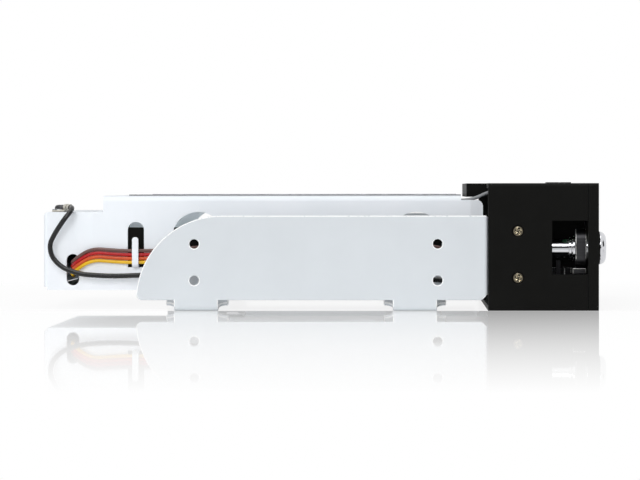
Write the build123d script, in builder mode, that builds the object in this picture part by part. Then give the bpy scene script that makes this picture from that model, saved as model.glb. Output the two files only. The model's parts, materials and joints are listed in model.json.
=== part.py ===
"""Hot swap drive cage for one 3.5 inch drive, in a half-height 5.25 inch bay.

Frame: +X to the front (the door side), +Y to the hinge side, +Z up. The origin
is the bottom centre of the whole object's box. All sizes are in millimetres.
"""

import os
from math import atan2, degrees, pi, radians, sqrt, tan

from build123d import *

os.makedirs("parts", exist_ok=True)

# Bay and drive
bay_width = 146.05
bay_height = 41.5
drive_width = 101.6
drive_height = 26.1
drive_play = 0.5

# Sheet metal
sheet = 1.0
bend_radius = 1.0
side_joggle = 0.9
joggle_radius = 2.5

# Lengths, each counted rearward from the door's front face
cage_depth = 182.8
lock_proud = 2.7
door_thickness = 3.4
door_gap = 0.15
housing_depth = 35.9
tunnel_depth = 28.7
wall_front_depth = 37.2
tongue_clearance = 0.3
front_joggle_start = 37.7
front_joggle_end = 41.8
top_front_depth = 44.4

# Lengths at the rear, each counted forward from the cage's rear face
rear_bay_length = 20.0
rear_joggle_inset = 3.5
rear_joggle_run = 5.1
board_setback = 20.6
hook_slot_setback = 30.8
cable_slot_setback = 9.8
drive_end_gap = 4.8
terminal_setback = 5.3

# Heights
floor_bottom_z = 6.3
cage_top_play = 1.5
front_wall_drop = 1.5
rear_top_drop = 5.4
rail_top_z = 27.0
ledge_height = 1.2
ledge_width = 4.0
drive_lift = 0.4

# Guide rails
rail_thickness = 2.2
rail_front_depth = 42.6
foot_clearance = 15.5
rail_lead_in = 9.0
rail_lead_in_drop = 1.2

# Side brackets
bracket_front_depth = 36.1
bracket_length = 114.5
bracket_foot_z = 3.5
bracket_top_z = 31.0
bracket_curve = 27.9
bracket_chamfer = 1.8
bracket_corner = 0.8
bracket_rear_corner = 2.0
tongue_depth = 20.0
tongue_height = 24.0
tongue_gap = 0.12
tongue_bend = 0.7
mount_spacing_x = 79.25
mount_spacing_z = 11.9
mount_front_depth = 52.3
mount_low_z = 9.9
mount_radius = 1.525
leg_depths = (59.7, 131.0)
tab_width = 14.4
leg_flare = 3.0
leg_flange = 13.5
leg_slope_start = 3.6
leg_slope_end = 16.5
leg_bend = 1.2
leg_relief_corner = 2.5
rivet_radius = 1.55
rivet_clearance = 0.05
rivet_head_radius = 2.6
rivet_head_height = 0.7
rivet_inset = 10.5
rivet_pitch = 12.0

# Cut-outs in the cage
access_radius = 8.7
access_depths = (59.2, 131.3)
access_z = 23.4
hook_slot_width = 5.4
hook_slot_low_z = 13.8
hook_slot_top_z = 28.8
hook_width = 2.05
hook_reach = 3.2
hook_top_z = 23.8
hook_bend = 0.8
cable_slot_width = 4.2
cable_slot_low_z = 7.8
cable_slot_top_z = 18.2
vent_slot_length = 16.0
vent_slot_width = 3.2
vent_edge_x = 1.5
vent_edge_y = 12.0
vent_pitch_x = 16.5
vent_pitch_y = 15.5
floor_slot_length = 12.0
floor_slot_columns = 5

# Front housing
housing_wall = 2.0
housing_roof = 1.6
housing_corner = 1.0
tunnel_wall = 1.6
tunnel_side_play = 0.7
tunnel_top_play = 1.4
front_frame = 2.0
window_length = 11.6
window_low_z = 11.8
window_top_z = 29.3
lock_pocket_low_z = 8.0
lock_pocket_top_z = 34.5
crank_pocket_low_z = 7.6
crank_pocket_top_z = 20.0
crank_pocket_width = 14.6
pocket_inset = 0.8
housing_rib = 1.6
housing_rib_spacing = 40.0
roof_bump_lengths = (3.9, 3.2)
roof_bump_depths = (14.7, 10.5)
roof_bump_width = 14.0
roof_bump_height = 0.3
roof_tongue_length = 6.5
roof_tongue_half_width = 42.0
roof_tongue_low_z = 37.0
screw_depth = 26.2
screw_heights = (10.7, 25.9)
screw_radius = 1.25
screw_head_radius = 2.15
screw_length = 5.4
screw_clearance = 0.1
recess_length = 2.4
recess_width = 0.55
recess_depth = 0.6
recess_turn = 20

# Door and hinge
hinge_inset = 1.7
ear_height = 3.8
ear_clearance = 0.3
pin_radius = 1.0
pin_running_fit = 0.06
pin_engagement = 6.0
pin_chamfer = 0.15
door_vent_count = 13
door_vent_pitch = 7.2
door_vent_width = 3.0
door_vent_height = 25.0
door_vent_y = 3.0
light_pipe_radius = 1.5
light_pipe_z = 31.2
light_pipe_spacing = 8.0
grip_inset = 28.5
grip_width = 7.5
grip_height = 20.0
grip_corner = 1.9
grip_recess = 1.6
catch_z = 4.9
catch_radius = 2.4
catch_thickness = 1.5
catch_plate_thickness = 0.8

# Lock
lock_inset = 9.0
lock_z = 20.3
lock_head_radius = 5.4
lock_body_radius = 4.4
lock_plug_radius = 3.15
lock_running_fit = 0.05
lock_plug_length = 15.7
key_slot_width = 0.9
key_slot_length = 4.2
key_slot_recess = 1.6
plug_chamfer = 0.3
escutcheon_radius = 6.2
escutcheon_height = 0.25
cam_front_depth = 3.75
cam_thickness = 3.55
cam_length = 12.6
cam_width = 7.0
ring_radii = (4.3, 3.9)
ring_depths = (7.3, 8.55)
ring_thicknesses = (0.95, 0.95)
strike_height = 13.7
strike_thickness = 1.8
strike_front_depth = 3.9
strike_tongue_length = 4.3
strike_length = 13.0
strike_reach = 13.2
strike_low_z = 8.2

# Key switch and signal board
switch_front_depth = 9.5
switch_length = 7.5
switch_width = 8.0
switch_top_z = 11.6
switch_post = 1.4
switch_post_depth = 12.1
switch_post_top_z = 16.2
led_board_depth = 9.6
led_board_thickness = 1.2
led_board_width = 14.0
led_board_low_z = 29.9
led_length = 3.2
led_radius = 1.4

# Ejector
ejector_travel = 12.0
crank_throw = 6.0
crank_pin_radius = 1.0
crank_arm_low_z = 15.0
crank_arm_thickness = 2.4
crank_arm_width = 3.2
crank_base_height = 4.0
yoke_clearance = 0.4
yoke_prong = 1.3
yoke_reach = 0.4
yoke_slot_depth = 2.5
ejector_sheet = 1.2
ejector_gap = 0.5
ejector_low_z = 8.0
ejector_height = 6.0
foot_length = 12.0
foot_pad = 0.6
stud_radius = 1.5
stud_head_radius = 3.0
stud_head_height = 1.0
stud_clearance = 0.3
stud_depths = (80.0, 115.0)

# Rear electronics
board_thickness = 1.6
board_half_width = 47.0
board_low_z = 8.4
board_clearance = 0.1
standoff_radius = 2.2
standoff_offset = 4.5
drive_port_width = 43.0
drive_port_height = 6.4
drive_port_length = 5.6
drive_port_y = -16.0
drive_tongue = 1.2
power_port_width = 22.0
power_port_height = 11.0
power_port_y = 14.0
power_port_z = 18.0
power_cavity = 8.6
power_pin_radius = 1.05
power_pin_pitch = 5.08
power_pin_count = 4
data_port_width = 14.0
data_port_height = 7.6
data_port_y = -14.0
port_wall = 1.1
port_clearance = 0.2
rear_corner = 1.4

# Wiring
ribbon_pitch = 1.27
ribbon_radius = 0.58
ground_radius = 0.825
lead_radius = 0.5
terminal_ring_radius = 3.1
terminal_thickness = 0.7
terminal_barrel_radius = 1.35
terminal_barrel_length = 2.6
terminal_eye_length = 3.4
terminal_neck_width = 2.4
terminal_lift = 0.2
terminal_screw_radius = 1.5
terminal_head_radius = 2.2
terminal_head_height = 1.7
terminal_y = -46.6
terminal_direction = (0.483, -0.876, 0)

# Values worked out from the sizes above
half_width = bay_width / 2
rail_inner_y = drive_width / 2 + drive_play
cage_inner_y = rail_inner_y + rail_thickness
cage_outer_y = cage_inner_y + sheet
floor_top_z = floor_bottom_z + sheet
drive_low_z = floor_top_z + ledge_height + drive_lift
cage_inner_top_z = drive_low_z + drive_height + cage_top_play
cage_top_z = cage_inner_top_z + sheet
front_wall_top_z = cage_top_z - front_wall_drop
rear_top_z = cage_top_z - rear_top_drop
board_top_z = rear_top_z - sheet - board_clearance
top_rear_depth = cage_depth - rear_bay_length
rear_joggle_start = top_rear_depth + rear_joggle_inset
rear_joggle_end = rear_joggle_start + rear_joggle_run
board_front_depth = cage_depth - board_setback
hook_slot_depth = cage_depth - hook_slot_setback
cable_slot_depth = cage_depth - cable_slot_setback
drive_rear_depth = top_rear_depth - drive_end_gap
front_x = (cage_depth + lock_proud) / 2 - lock_proud
rear_x = front_x - cage_depth
hinge_x = front_x - hinge_inset
hinge_y = half_width - hinge_inset
lock_y = -(half_width - lock_inset)
housing_front_depth = door_thickness + door_gap
tunnel_half_width = cage_inner_y - side_joggle - tunnel_side_play
tunnel_outer_y = tunnel_half_width + tunnel_wall
tunnel_roof_z = drive_low_z + drive_height + tunnel_top_play
inner_front_y = cage_inner_y - side_joggle
wall_reach = half_width + sheet
terminal_x = rear_x + terminal_setback
leg_width = tab_width + 2 * leg_flare


def x_at(depth):
    """X of a point that lies this far behind the door's front face."""
    return front_x - depth


def block(depths, y_limits, z_limits, mode=Mode.ADD):
    """Adds or cuts a block between two depths, two widths and two heights."""
    centre = (
        x_at((depths[0] + depths[1]) / 2),
        (y_limits[0] + y_limits[1]) / 2,
        (z_limits[0] + z_limits[1]) / 2,
    )
    with Locations(centre):
        Box(
            abs(depths[1] - depths[0]),
            abs(y_limits[1] - y_limits[0]),
            abs(z_limits[1] - z_limits[0]),
            mode=mode,
        )


def pattern_count(room, size, pitch):
    """How many openings of this size fit in the room at this pitch."""
    return int((room - size) / pitch) + 1


def rod_x(depth, y, z, radius, length, mode=Mode.ADD):
    """Adds or cuts a round rod that runs rearward from this depth."""
    with BuildSketch(Plane.YZ.offset(x_at(depth))) as section:
        with Locations((y, z)):
            Circle(radius)
    extrude(section.sketch, amount=-length, mode=mode)


def rod_y(depth, y, z, radius, length, mode=Mode.ADD):
    """Adds or cuts a round rod along +Y, or along -Y where the length is negative."""
    with BuildSketch(Plane.XZ.offset(-y)) as section:
        with Locations((x_at(depth), z)):
            Circle(radius)
    extrude(section.sketch, amount=-length, mode=mode)


def rod_z(x, y, z, radius, length, mode=Mode.ADD):
    """Adds or cuts a round rod upward from this height."""
    with BuildSketch(Plane.XY.offset(z)) as section:
        with Locations((x, y)):
            Circle(radius)
    extrude(section.sketch, amount=length, mode=mode)


def finish(piece, name):
    """Labels a piece and writes its STEP file."""
    piece.part.label = name
    export_step(piece.part, f"parts/{name}.step")


def side_bracket(name, side):
    """A bent side rail with its mounting holes, its front tongue and two legs."""
    outer = half_width
    tongue_outer = half_width - housing_wall - tongue_gap
    rear_depth = bracket_front_depth + bracket_length
    bracket_height = bracket_top_z - bracket_foot_z
    curve_reach = sqrt(bracket_curve**2 - (bracket_curve - bracket_height) ** 2)
    middle_z = (bracket_top_z + bracket_foot_z) / 2
    with BuildPart() as piece:
        with BuildSketch(Plane.XY.offset(bracket_foot_z)):
            with BuildLine() as plan:
                FilletPolyline(
                    (x_at(rear_depth), side * (outer - sheet / 2)),
                    (x_at(bracket_front_depth + sheet / 2), side * (outer - sheet / 2)),
                    (x_at(bracket_front_depth + sheet / 2), side * (tongue_outer - sheet / 2)),
                    (x_at(tongue_depth), side * (tongue_outer - sheet / 2)),
                    radius=tongue_bend,
                )
            trace(plan.line, line_width=sheet)
        extrude(amount=bracket_height)

        with BuildSketch(Plane.XZ) as outline:
            with BuildLine():
                top = Line(
                    (x_at(bracket_front_depth), bracket_top_z),
                    (x_at(rear_depth - bracket_curve), bracket_top_z),
                )
                curve = RadiusArc(
                    top @ 1,
                    (x_at(rear_depth - bracket_curve + curve_reach), bracket_foot_z),
                    -bracket_curve,
                )
                Polyline(
                    curve @ 1,
                    (x_at(bracket_front_depth + bracket_chamfer), bracket_foot_z),
                    (x_at(bracket_front_depth), bracket_foot_z + bracket_chamfer),
                    top @ 0,
                )
            make_face()
            fillet(outline.vertices().sort_by(Axis.X)[0], bracket_rear_corner)
            fillet(outline.vertices().group_by(Axis.X)[-1].sort_by(Axis.Y)[-1], bracket_corner)
            with Locations((x_at((bracket_front_depth + tongue_depth) / 2), middle_z)):
                Rectangle(bracket_front_depth - tongue_depth, tongue_height)
        extrude(amount=wall_reach, both=True, mode=Mode.INTERSECT)

        for depth in leg_depths:
            with BuildSketch(Plane.YZ.offset(x_at(depth + leg_width / 2))):
                with BuildLine() as leg:
                    FilletPolyline(
                        (side * (outer - sheet / 2), bracket_foot_z + sheet),
                        (side * (outer - sheet / 2), sheet / 2),
                        (side * (outer - leg_slope_start), sheet / 2),
                        (side * (outer - leg_slope_end), floor_bottom_z - sheet / 2),
                        (side * (cage_outer_y - leg_flange), floor_bottom_z - sheet / 2),
                        radius=leg_bend,
                    )
                trace(leg.line, line_width=sheet)
            extrude(amount=leg_width)
            with BuildSketch(Plane.XY.offset(-sheet)):
                for end in (-1, 1):
                    with Locations((x_at(depth) + end * leg_width / 2, side * outer)):
                        RectangleRounded(
                            2 * leg_flare,
                            4 * leg_slope_start,
                            min(leg_relief_corner, 0.9 * leg_flare),
                        )
            extrude(amount=bracket_foot_z + sheet, mode=Mode.SUBTRACT)
            for offset_x in (-rivet_pitch / 2, rivet_pitch / 2):
                rod_z(
                    x_at(depth) + offset_x,
                    side * (cage_outer_y - rivet_inset),
                    0,
                    rivet_radius + rivet_clearance,
                    floor_top_z,
                    mode=Mode.SUBTRACT,
                )
        for depth in (mount_front_depth, mount_front_depth + mount_spacing_x):
            for z in (mount_low_z, mount_low_z + mount_spacing_z):
                rod_y(depth, 0, z, mount_radius, side * wall_reach, mode=Mode.SUBTRACT)
        for z in screw_heights:
            rod_y(
                screw_depth,
                0,
                z,
                screw_radius + screw_clearance,
                side * wall_reach,
                mode=Mode.SUBTRACT,
            )
    finish(piece, name)


def bracket_rivets():
    """Eight rivets that hold the bracket flanges to the cage floor."""
    with BuildPart() as piece:
        for depth in leg_depths:
            for offset_x in (-rivet_pitch / 2, rivet_pitch / 2):
                for side in (-1, 1):
                    x = x_at(depth) + offset_x
                    y = side * (cage_outer_y - rivet_inset)
                    low = floor_bottom_z - sheet
                    rod_z(x, y, low, rivet_radius, 2 * sheet)
                    rod_z(x, y, floor_top_z, rivet_head_radius, rivet_head_height)
                    rod_z(x, y, low - rivet_head_height, rivet_head_radius, rivet_head_height)
        heads = piece.faces().filter_by(Axis.Z).group_by(Axis.Z)
        chamfer(heads[-1].edges(), rivet_head_height / 2)
    finish(piece, "bracket_rivets")


def joggled_wall(side, start, turn_from, turn_to, end, top_z):
    """An end stretch of a cage wall, stepped inward by the joggle."""
    outer_line = side * (cage_outer_y - sheet / 2)
    inner_line = outer_line - side * side_joggle
    with BuildSketch(Plane.XY.offset(floor_bottom_z)) as section:
        with BuildLine() as plan:
            FilletPolyline(
                (x_at(start), outer_line),
                (x_at(turn_from), outer_line),
                (x_at(turn_to), inner_line),
                (x_at(end), inner_line),
                radius=joggle_radius,
            )
        trace(plan.line, line_width=sheet)
    extrude(section.sketch, amount=top_z - floor_bottom_z)


def cage_body():
    """The folded shell over the drive: two walls and the vented top."""
    centre_y = cage_outer_y - sheet / 2
    wall_rear_depth = cage_depth - sheet - tongue_clearance
    with BuildPart() as piece:
        with BuildSketch(Plane.YZ.offset(x_at(top_rear_depth))):
            with BuildLine() as hoop:
                FilletPolyline(
                    (-centre_y, floor_bottom_z),
                    (-centre_y, cage_top_z - sheet / 2),
                    (centre_y, cage_top_z - sheet / 2),
                    (centre_y, floor_bottom_z),
                    radius=bend_radius + sheet / 2,
                )
            trace(hoop.line, line_width=sheet)
        extrude(amount=top_rear_depth - top_front_depth)
        block(
            (top_rear_depth - sheet, top_rear_depth),
            (-cage_inner_y, cage_inner_y),
            (rear_top_z, cage_inner_top_z + sheet / 2),
        )
        for side in (-1, 1):
            joggled_wall(
                side,
                top_rear_depth,
                rear_joggle_start,
                rear_joggle_end,
                wall_rear_depth,
                rear_top_z,
            )
            block(
                (front_joggle_end, top_front_depth),
                (side * cage_inner_y, side * cage_outer_y),
                (floor_bottom_z, front_wall_top_z),
            )
            joggled_wall(
                side,
                front_joggle_end,
                front_joggle_end - sheet / 2,
                front_joggle_start,
                tunnel_depth + tongue_clearance,
                front_wall_top_z,
            )
        # The upper part of the wall stops short of the housing and its tongue runs on
        with BuildSketch(Plane.XZ):
            with Locations(
                (x_at(wall_front_depth) + wall_front_depth / 2, front_wall_top_z),
                (x_at(wall_front_depth) + wall_front_depth / 2, floor_bottom_z),
            ):
                Rectangle(wall_front_depth, 2 * (front_wall_top_z - rail_top_z))
        extrude(amount=cage_outer_y + sheet, both=True, mode=Mode.SUBTRACT)
        shoulders = (
            piece.edges()
            .filter_by(Axis.Y)
            .filter_by(lambda e: abs(e.center().X - x_at(wall_front_depth)) < 0.05)
            .filter_by(lambda e: abs(e.center().Z - front_wall_top_z) < 0.05)
        )
        fillet(shoulders, 2 * sheet)

        with BuildSketch(Plane.XZ):
            with Locations(*[(x_at(depth), access_z) for depth in access_depths]):
                Circle(access_radius)
        extrude(amount=wall_reach, both=True, mode=Mode.SUBTRACT)

        with BuildSketch(Plane.XZ):
            slot_height = hook_slot_top_z - hook_slot_low_z + hook_slot_width / 2
            with Locations((x_at(hook_slot_depth), hook_slot_top_z - slot_height / 2)):
                SlotOverall(slot_height, hook_slot_width, rotation=90)
            with Locations((x_at(hook_slot_depth), hook_slot_low_z - hook_slot_width / 2)):
                Rectangle(hook_slot_width, hook_slot_width, mode=Mode.SUBTRACT)
            cable_height = cable_slot_top_z - cable_slot_low_z
            cable_centre = (x_at(cable_slot_depth), cable_slot_low_z + cable_height / 2)
            with Locations(cable_centre):
                SlotOverall(cable_height, cable_slot_width, rotation=90)
        extrude(amount=wall_reach, mode=Mode.SUBTRACT)

        # The cable hook is lanced from the wall and stands outside it
        with BuildSketch(Plane.YZ.offset(x_at(hook_slot_depth + hook_width / 2))):
            with BuildLine() as hook:
                FilletPolyline(
                    (-centre_y, hook_slot_low_z - 2 * sheet),
                    (-centre_y, hook_slot_low_z + sheet / 2),
                    (-centre_y - hook_reach, hook_slot_low_z + sheet / 2),
                    (-centre_y - hook_reach, hook_top_z),
                    radius=hook_bend,
                )
            trace(hook.line, line_width=sheet)
        extrude(amount=hook_width)
        tips = (
            piece.edges()
            .filter_by(Axis.Y)
            .filter_by(lambda e: abs(e.center().Z - hook_top_z) < 0.01)
        )
        fillet(tips, 0.45 * hook_width)

        foot_low, foot_top = ejector_low_z - stud_clearance, ejector_low_z + ejector_height
        block(
            (
                drive_rear_depth + 2 * stud_clearance,
                drive_rear_depth - ejector_sheet - foot_pad - ejector_travel - 2 * stud_clearance,
            ),
            (cage_inner_y - sheet, cage_outer_y + sheet),
            (foot_low, foot_top + stud_clearance),
            mode=Mode.SUBTRACT,
        )

        vent_centre = x_at((top_front_depth + top_rear_depth) / 2)
        vent_columns = pattern_count(
            top_rear_depth - top_front_depth - 2 * vent_edge_x, vent_slot_length, vent_pitch_x
        )
        vent_rows = pattern_count(
            2 * (cage_inner_y - vent_edge_y), vent_slot_width, vent_pitch_y
        )
        with BuildSketch(Plane.XY.offset(cage_inner_top_z - sheet)):
            with Locations((vent_centre, 0)):
                with GridLocations(vent_pitch_x, vent_pitch_y, vent_columns, vent_rows):
                    SlotOverall(vent_slot_length - vent_slot_width, vent_slot_width)
        extrude(amount=3 * sheet, mode=Mode.SUBTRACT)
    finish(piece, "cage_body")


def cage_floor():
    """The floor plate between the cage walls, with vent slots and rivet holes."""
    wall_rear_depth = cage_depth - sheet - tongue_clearance
    with BuildPart() as piece:
        with BuildSketch(Plane.XY.offset(floor_bottom_z)):
            with BuildLine():
                Polyline(
                    (x_at(tunnel_depth + tongue_clearance), -inner_front_y),
                    (x_at(front_joggle_end), -inner_front_y),
                    (x_at(front_joggle_end + sheet), -cage_inner_y),
                    (x_at(rear_joggle_start - sheet), -cage_inner_y),
                    (x_at(rear_joggle_start), -inner_front_y),
                    (x_at(wall_rear_depth), -inner_front_y),
                    (x_at(wall_rear_depth), inner_front_y),
                    (x_at(rear_joggle_start), inner_front_y),
                    (x_at(rear_joggle_start - sheet), cage_inner_y),
                    (x_at(front_joggle_end + sheet), cage_inner_y),
                    (x_at(front_joggle_end), inner_front_y),
                    (x_at(tunnel_depth + tongue_clearance), inner_front_y),
                    close=True,
                )
            make_face()
            with Locations((x_at((leg_depths[0] + leg_depths[1]) / 2), 0)):
                with GridLocations(vent_pitch_x, vent_pitch_y, floor_slot_columns, 4):
                    SlotOverall(floor_slot_length, vent_slot_width, mode=Mode.SUBTRACT)
            for depth in leg_depths:
                for offset_x in (-rivet_pitch / 2, rivet_pitch / 2):
                    for side in (-1, 1):
                        y = side * (cage_outer_y - rivet_inset)
                        with Locations((x_at(depth) + offset_x, y)):
                            Circle(rivet_radius + rivet_clearance, mode=Mode.SUBTRACT)
        extrude(amount=sheet)
    finish(piece, "cage_floor")


def guide_rail(name, side, rear_depth):
    """A black plastic runner with a ledge under the drive and a tapered entry."""
    with BuildPart() as piece:
        block(
            (rail_front_depth, rear_depth),
            (side * rail_inner_y, side * cage_inner_y),
            (floor_top_z, rail_top_z),
        )
        block(
            (rail_front_depth, rear_depth),
            (side * (rail_inner_y - ledge_width), side * cage_inner_y),
            (floor_top_z, floor_top_z + ledge_height),
        )
        with BuildSketch(Plane.XY.offset(floor_top_z + ledge_height)):
            with BuildLine():
                Polyline(
                    (x_at(rail_front_depth), side * rail_inner_y),
                    (x_at(rail_front_depth + rail_lead_in), side * rail_inner_y),
                    (x_at(rail_front_depth), side * (rail_inner_y + rail_lead_in_drop)),
                    close=True,
                )
            make_face()
        extrude(amount=rail_top_z, mode=Mode.SUBTRACT)
        entry = piece.edges().filter_by(Axis.Y).group_by(Axis.X)[-1].group_by(Axis.Z)[-1]
        fillet(entry, rail_thickness)
    finish(piece, name)


def rear_cover():
    """The low box at the rear that closes the electronics bay."""
    span = cage_depth - top_rear_depth
    height = rear_top_z - floor_top_z
    middle = x_at(top_rear_depth + span / 2)
    with BuildPart() as piece:
        with Locations((middle, 0, floor_top_z + height / 2)):
            Box(span, 2 * inner_front_y, height)
        fillet(piece.edges().filter_by(Axis.Z).group_by(Axis.X)[0], rear_corner)
        fillet(piece.edges().filter_by(Axis.Y).group_by(Axis.X)[0].group_by(Axis.Z)[-1], rear_corner)
        front_face = piece.faces().sort_by(Axis.X)[-1]
        low_face = piece.faces().sort_by(Axis.Z)[0]
        offset(amount=-sheet, openings=[front_face, low_face])
        with BuildSketch(Plane.XZ):
            cable_height = cable_slot_top_z - cable_slot_low_z
            with Locations((x_at(cable_slot_depth), cable_slot_low_z + cable_height / 2)):
                SlotOverall(cable_height, cable_slot_width, rotation=90)
        extrude(amount=wall_reach, mode=Mode.SUBTRACT)
        with BuildSketch(Plane.YZ.offset(rear_x - sheet)):
            with Locations((power_port_y, power_port_z)):
                Rectangle(
                    power_port_width + 2 * port_clearance,
                    power_port_height + 2 * port_clearance,
                )
            with Locations((data_port_y, power_port_z)):
                Rectangle(
                    data_port_width + 2 * port_clearance,
                    data_port_height + 2 * port_clearance,
                )
        extrude(amount=3 * sheet, mode=Mode.SUBTRACT)
        rod_z(
            terminal_x,
            terminal_y,
            rear_top_z - 2 * sheet,
            terminal_screw_radius + screw_clearance,
            3 * sheet,
            mode=Mode.SUBTRACT,
        )
    finish(piece, "rear_cover")


def backplane():
    """The circuit board behind the drive, its spacers and its three connectors."""
    board_rear_depth = board_front_depth + board_thickness
    cover_inner_depth = cage_depth - sheet
    port_length = cage_depth - board_rear_depth
    with BuildPart() as board:
        block(
            (board_front_depth, board_rear_depth),
            (-board_half_width, board_half_width),
            (board_low_z, board_top_z),
        )
        fillet(board.edges().filter_by(Axis.X), sheet)
    finish(board, "backplane_board")

    with BuildPart() as spacers:
        for side in (-1, 1):
            for z in (board_low_z + standoff_offset, board_top_z - standoff_offset):
                rod_x(
                    board_rear_depth,
                    side * (board_half_width - standoff_offset),
                    z,
                    standoff_radius,
                    cover_inner_depth - board_rear_depth,
                )
    finish(spacers, "board_standoffs")

    port_z = drive_low_z + drive_port_height / 2
    port_front = board_front_depth - drive_port_length
    with BuildPart() as drive_port:
        block(
            (port_front, board_front_depth),
            (drive_port_y - drive_port_width / 2, drive_port_y + drive_port_width / 2),
            (port_z - drive_port_height / 2, port_z + drive_port_height / 2),
        )
        fillet(drive_port.edges().filter_by(Axis.X), sheet / 2)
        block(
            (port_front, board_front_depth - port_wall),
            (
                drive_port_y - drive_port_width / 2 + port_wall,
                drive_port_y + drive_port_width / 2 - port_wall,
            ),
            (port_z - drive_tongue, port_z + drive_port_height / 2 - port_wall),
            mode=Mode.SUBTRACT,
        )
        block(
            (port_front + sheet, board_front_depth - port_wall),
            (
                drive_port_y - drive_port_width / 2 + 2 * port_wall,
                drive_port_y + drive_port_width / 2 - 2 * port_wall,
            ),
            (port_z - drive_tongue / 4, port_z + drive_tongue / 2),
        )
    finish(drive_port, "drive_connector")

    with BuildPart() as power:
        block(
            (board_rear_depth, board_rear_depth + port_length),
            (power_port_y - power_port_width / 2, power_port_y + power_port_width / 2),
            (power_port_z - power_port_height / 2, power_port_z + power_port_height / 2),
        )
        chamfer(power.edges().filter_by(Axis.X).group_by(Axis.Z)[-1], 2 * sheet)
        back = power.faces().sort_by(Axis.X)[0]
        with BuildSketch(back):
            offset(back, amount=-port_wall)
        extrude(amount=-power_cavity, mode=Mode.SUBTRACT)
        for index in range(power_pin_count):
            rod_x(
                board_rear_depth + port_length - power_cavity - sheet,
                power_port_y + (index - (power_pin_count - 1) / 2) * power_pin_pitch,
                power_port_z,
                power_pin_radius,
                power_cavity,
            )
    finish(power, "power_port")

    with BuildPart() as data:
        block(
            (board_rear_depth, board_rear_depth + port_length),
            (data_port_y - data_port_width / 2, data_port_y + data_port_width / 2),
            (power_port_z - data_port_height / 2, power_port_z + data_port_height / 2),
        )
        fillet(data.edges().filter_by(Axis.X), sheet / 2)
        back = data.faces().sort_by(Axis.X)[0]
        with BuildSketch(back):
            offset(back, amount=-port_wall)
        extrude(amount=-power_cavity, mode=Mode.SUBTRACT)
        tongue_half = data_port_width / 2 - 2 * port_wall
        block(
            (cage_depth - power_cavity - sheet, cage_depth - sheet),
            (data_port_y - tongue_half, data_port_y + tongue_half),
            (power_port_z - drive_tongue / 2, power_port_z + drive_tongue / 2),
        )
    finish(data, "data_port")


def front_housing():
    """The black moulding round the drive's mouth, the lock pocket and the hinge."""
    inner_y = half_width - housing_wall
    roof_z = bay_height - housing_roof
    frame_back = housing_front_depth + front_frame
    with BuildPart() as piece:
        block((housing_front_depth, housing_depth), (-half_width, half_width), (0, bay_height))
        fillet(piece.edges().filter_by(Axis.X), housing_corner)
        block((frame_back, housing_depth), (-inner_y, inner_y), (housing_roof, roof_z), Mode.SUBTRACT)
        block(
            (housing_front_depth, tunnel_depth),
            (-tunnel_outer_y, tunnel_outer_y),
            (floor_top_z - tunnel_wall, tunnel_roof_z + tunnel_wall),
        )
        for y in (-housing_rib_spacing / 2, housing_rib_spacing / 2):
            block(
                (frame_back, tunnel_depth),
                (y - housing_rib / 2, y + housing_rib / 2),
                (housing_roof / 2, roof_z + housing_roof / 2),
            )
        block(
            (-housing_front_depth, housing_depth),
            (-tunnel_half_width, tunnel_half_width),
            (floor_top_z, tunnel_roof_z),
            Mode.SUBTRACT,
        )
        block(
            (0, frame_back + sheet / 2),
            (-inner_y, -tunnel_outer_y - pocket_inset),
            (lock_pocket_low_z, lock_pocket_top_z),
            Mode.SUBTRACT,
        )
        block(
            (0, frame_back + sheet / 2),
            (tunnel_outer_y + pocket_inset, tunnel_outer_y + pocket_inset + crank_pocket_width),
            (crank_pocket_low_z, crank_pocket_top_z),
            Mode.SUBTRACT,
        )
        block(
            (0, housing_front_depth + window_length),
            (-half_width - sheet, -inner_y + sheet),
            (window_low_z, window_top_z),
            Mode.SUBTRACT,
        )
        for depth, length in zip(roof_bump_depths, roof_bump_lengths):
            block(
                (depth - length / 2, depth + length / 2),
                (-half_width + 2 * housing_wall, -half_width + 2 * housing_wall + roof_bump_width),
                (roof_z, bay_height + roof_bump_height),
            )
        # The roof runs on rearward as a hollow tongue over the cage's mouth
        tongue_end = housing_depth + roof_tongue_length
        block(
            (housing_depth - housing_wall, tongue_end),
            (-roof_tongue_half_width, roof_tongue_half_width),
            (roof_z, bay_height),
        )
        for side in (-1, 1):
            block(
                (housing_depth - housing_wall, tongue_end),
                (side * roof_tongue_half_width, side * (roof_tongue_half_width - housing_rib)),
                (roof_tongue_low_z, roof_z),
            )
        block(
            (tongue_end - housing_rib, tongue_end),
            (-roof_tongue_half_width, roof_tongue_half_width),
            (roof_tongue_low_z, roof_z),
        )
        # Ears above and below the door carry the hinge pins
        for low_z in (0, bay_height - ear_height):
            with BuildSketch(Plane.XY.offset(low_z)):
                with Locations((hinge_x, hinge_y)):
                    Circle(hinge_inset)
                with Locations((hinge_x - hinge_inset, hinge_y)):
                    Rectangle(2 * hinge_inset, 2 * hinge_inset)
            extrude(amount=ear_height)
            rod_z(hinge_x, hinge_y, low_z, pin_radius, ear_height, Mode.SUBTRACT)
        for side in (-1, 1):
            for z in screw_heights:
                seat = Plane(origin=(x_at(screw_depth), side * half_width, z), z_dir=(0, side, 0))
                with Locations(seat):
                    CounterSinkHole(
                        radius=screw_radius + screw_clearance,
                        counter_sink_radius=screw_head_radius + screw_clearance,
                        depth=2 * housing_wall,
                        counter_sink_angle=90,
                    )
        rod_x(
            housing_front_depth,
            lock_y,
            catch_z,
            catch_radius + screw_clearance,
            catch_thickness,
            Mode.SUBTRACT,
        )
    finish(piece, "front_housing")


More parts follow.
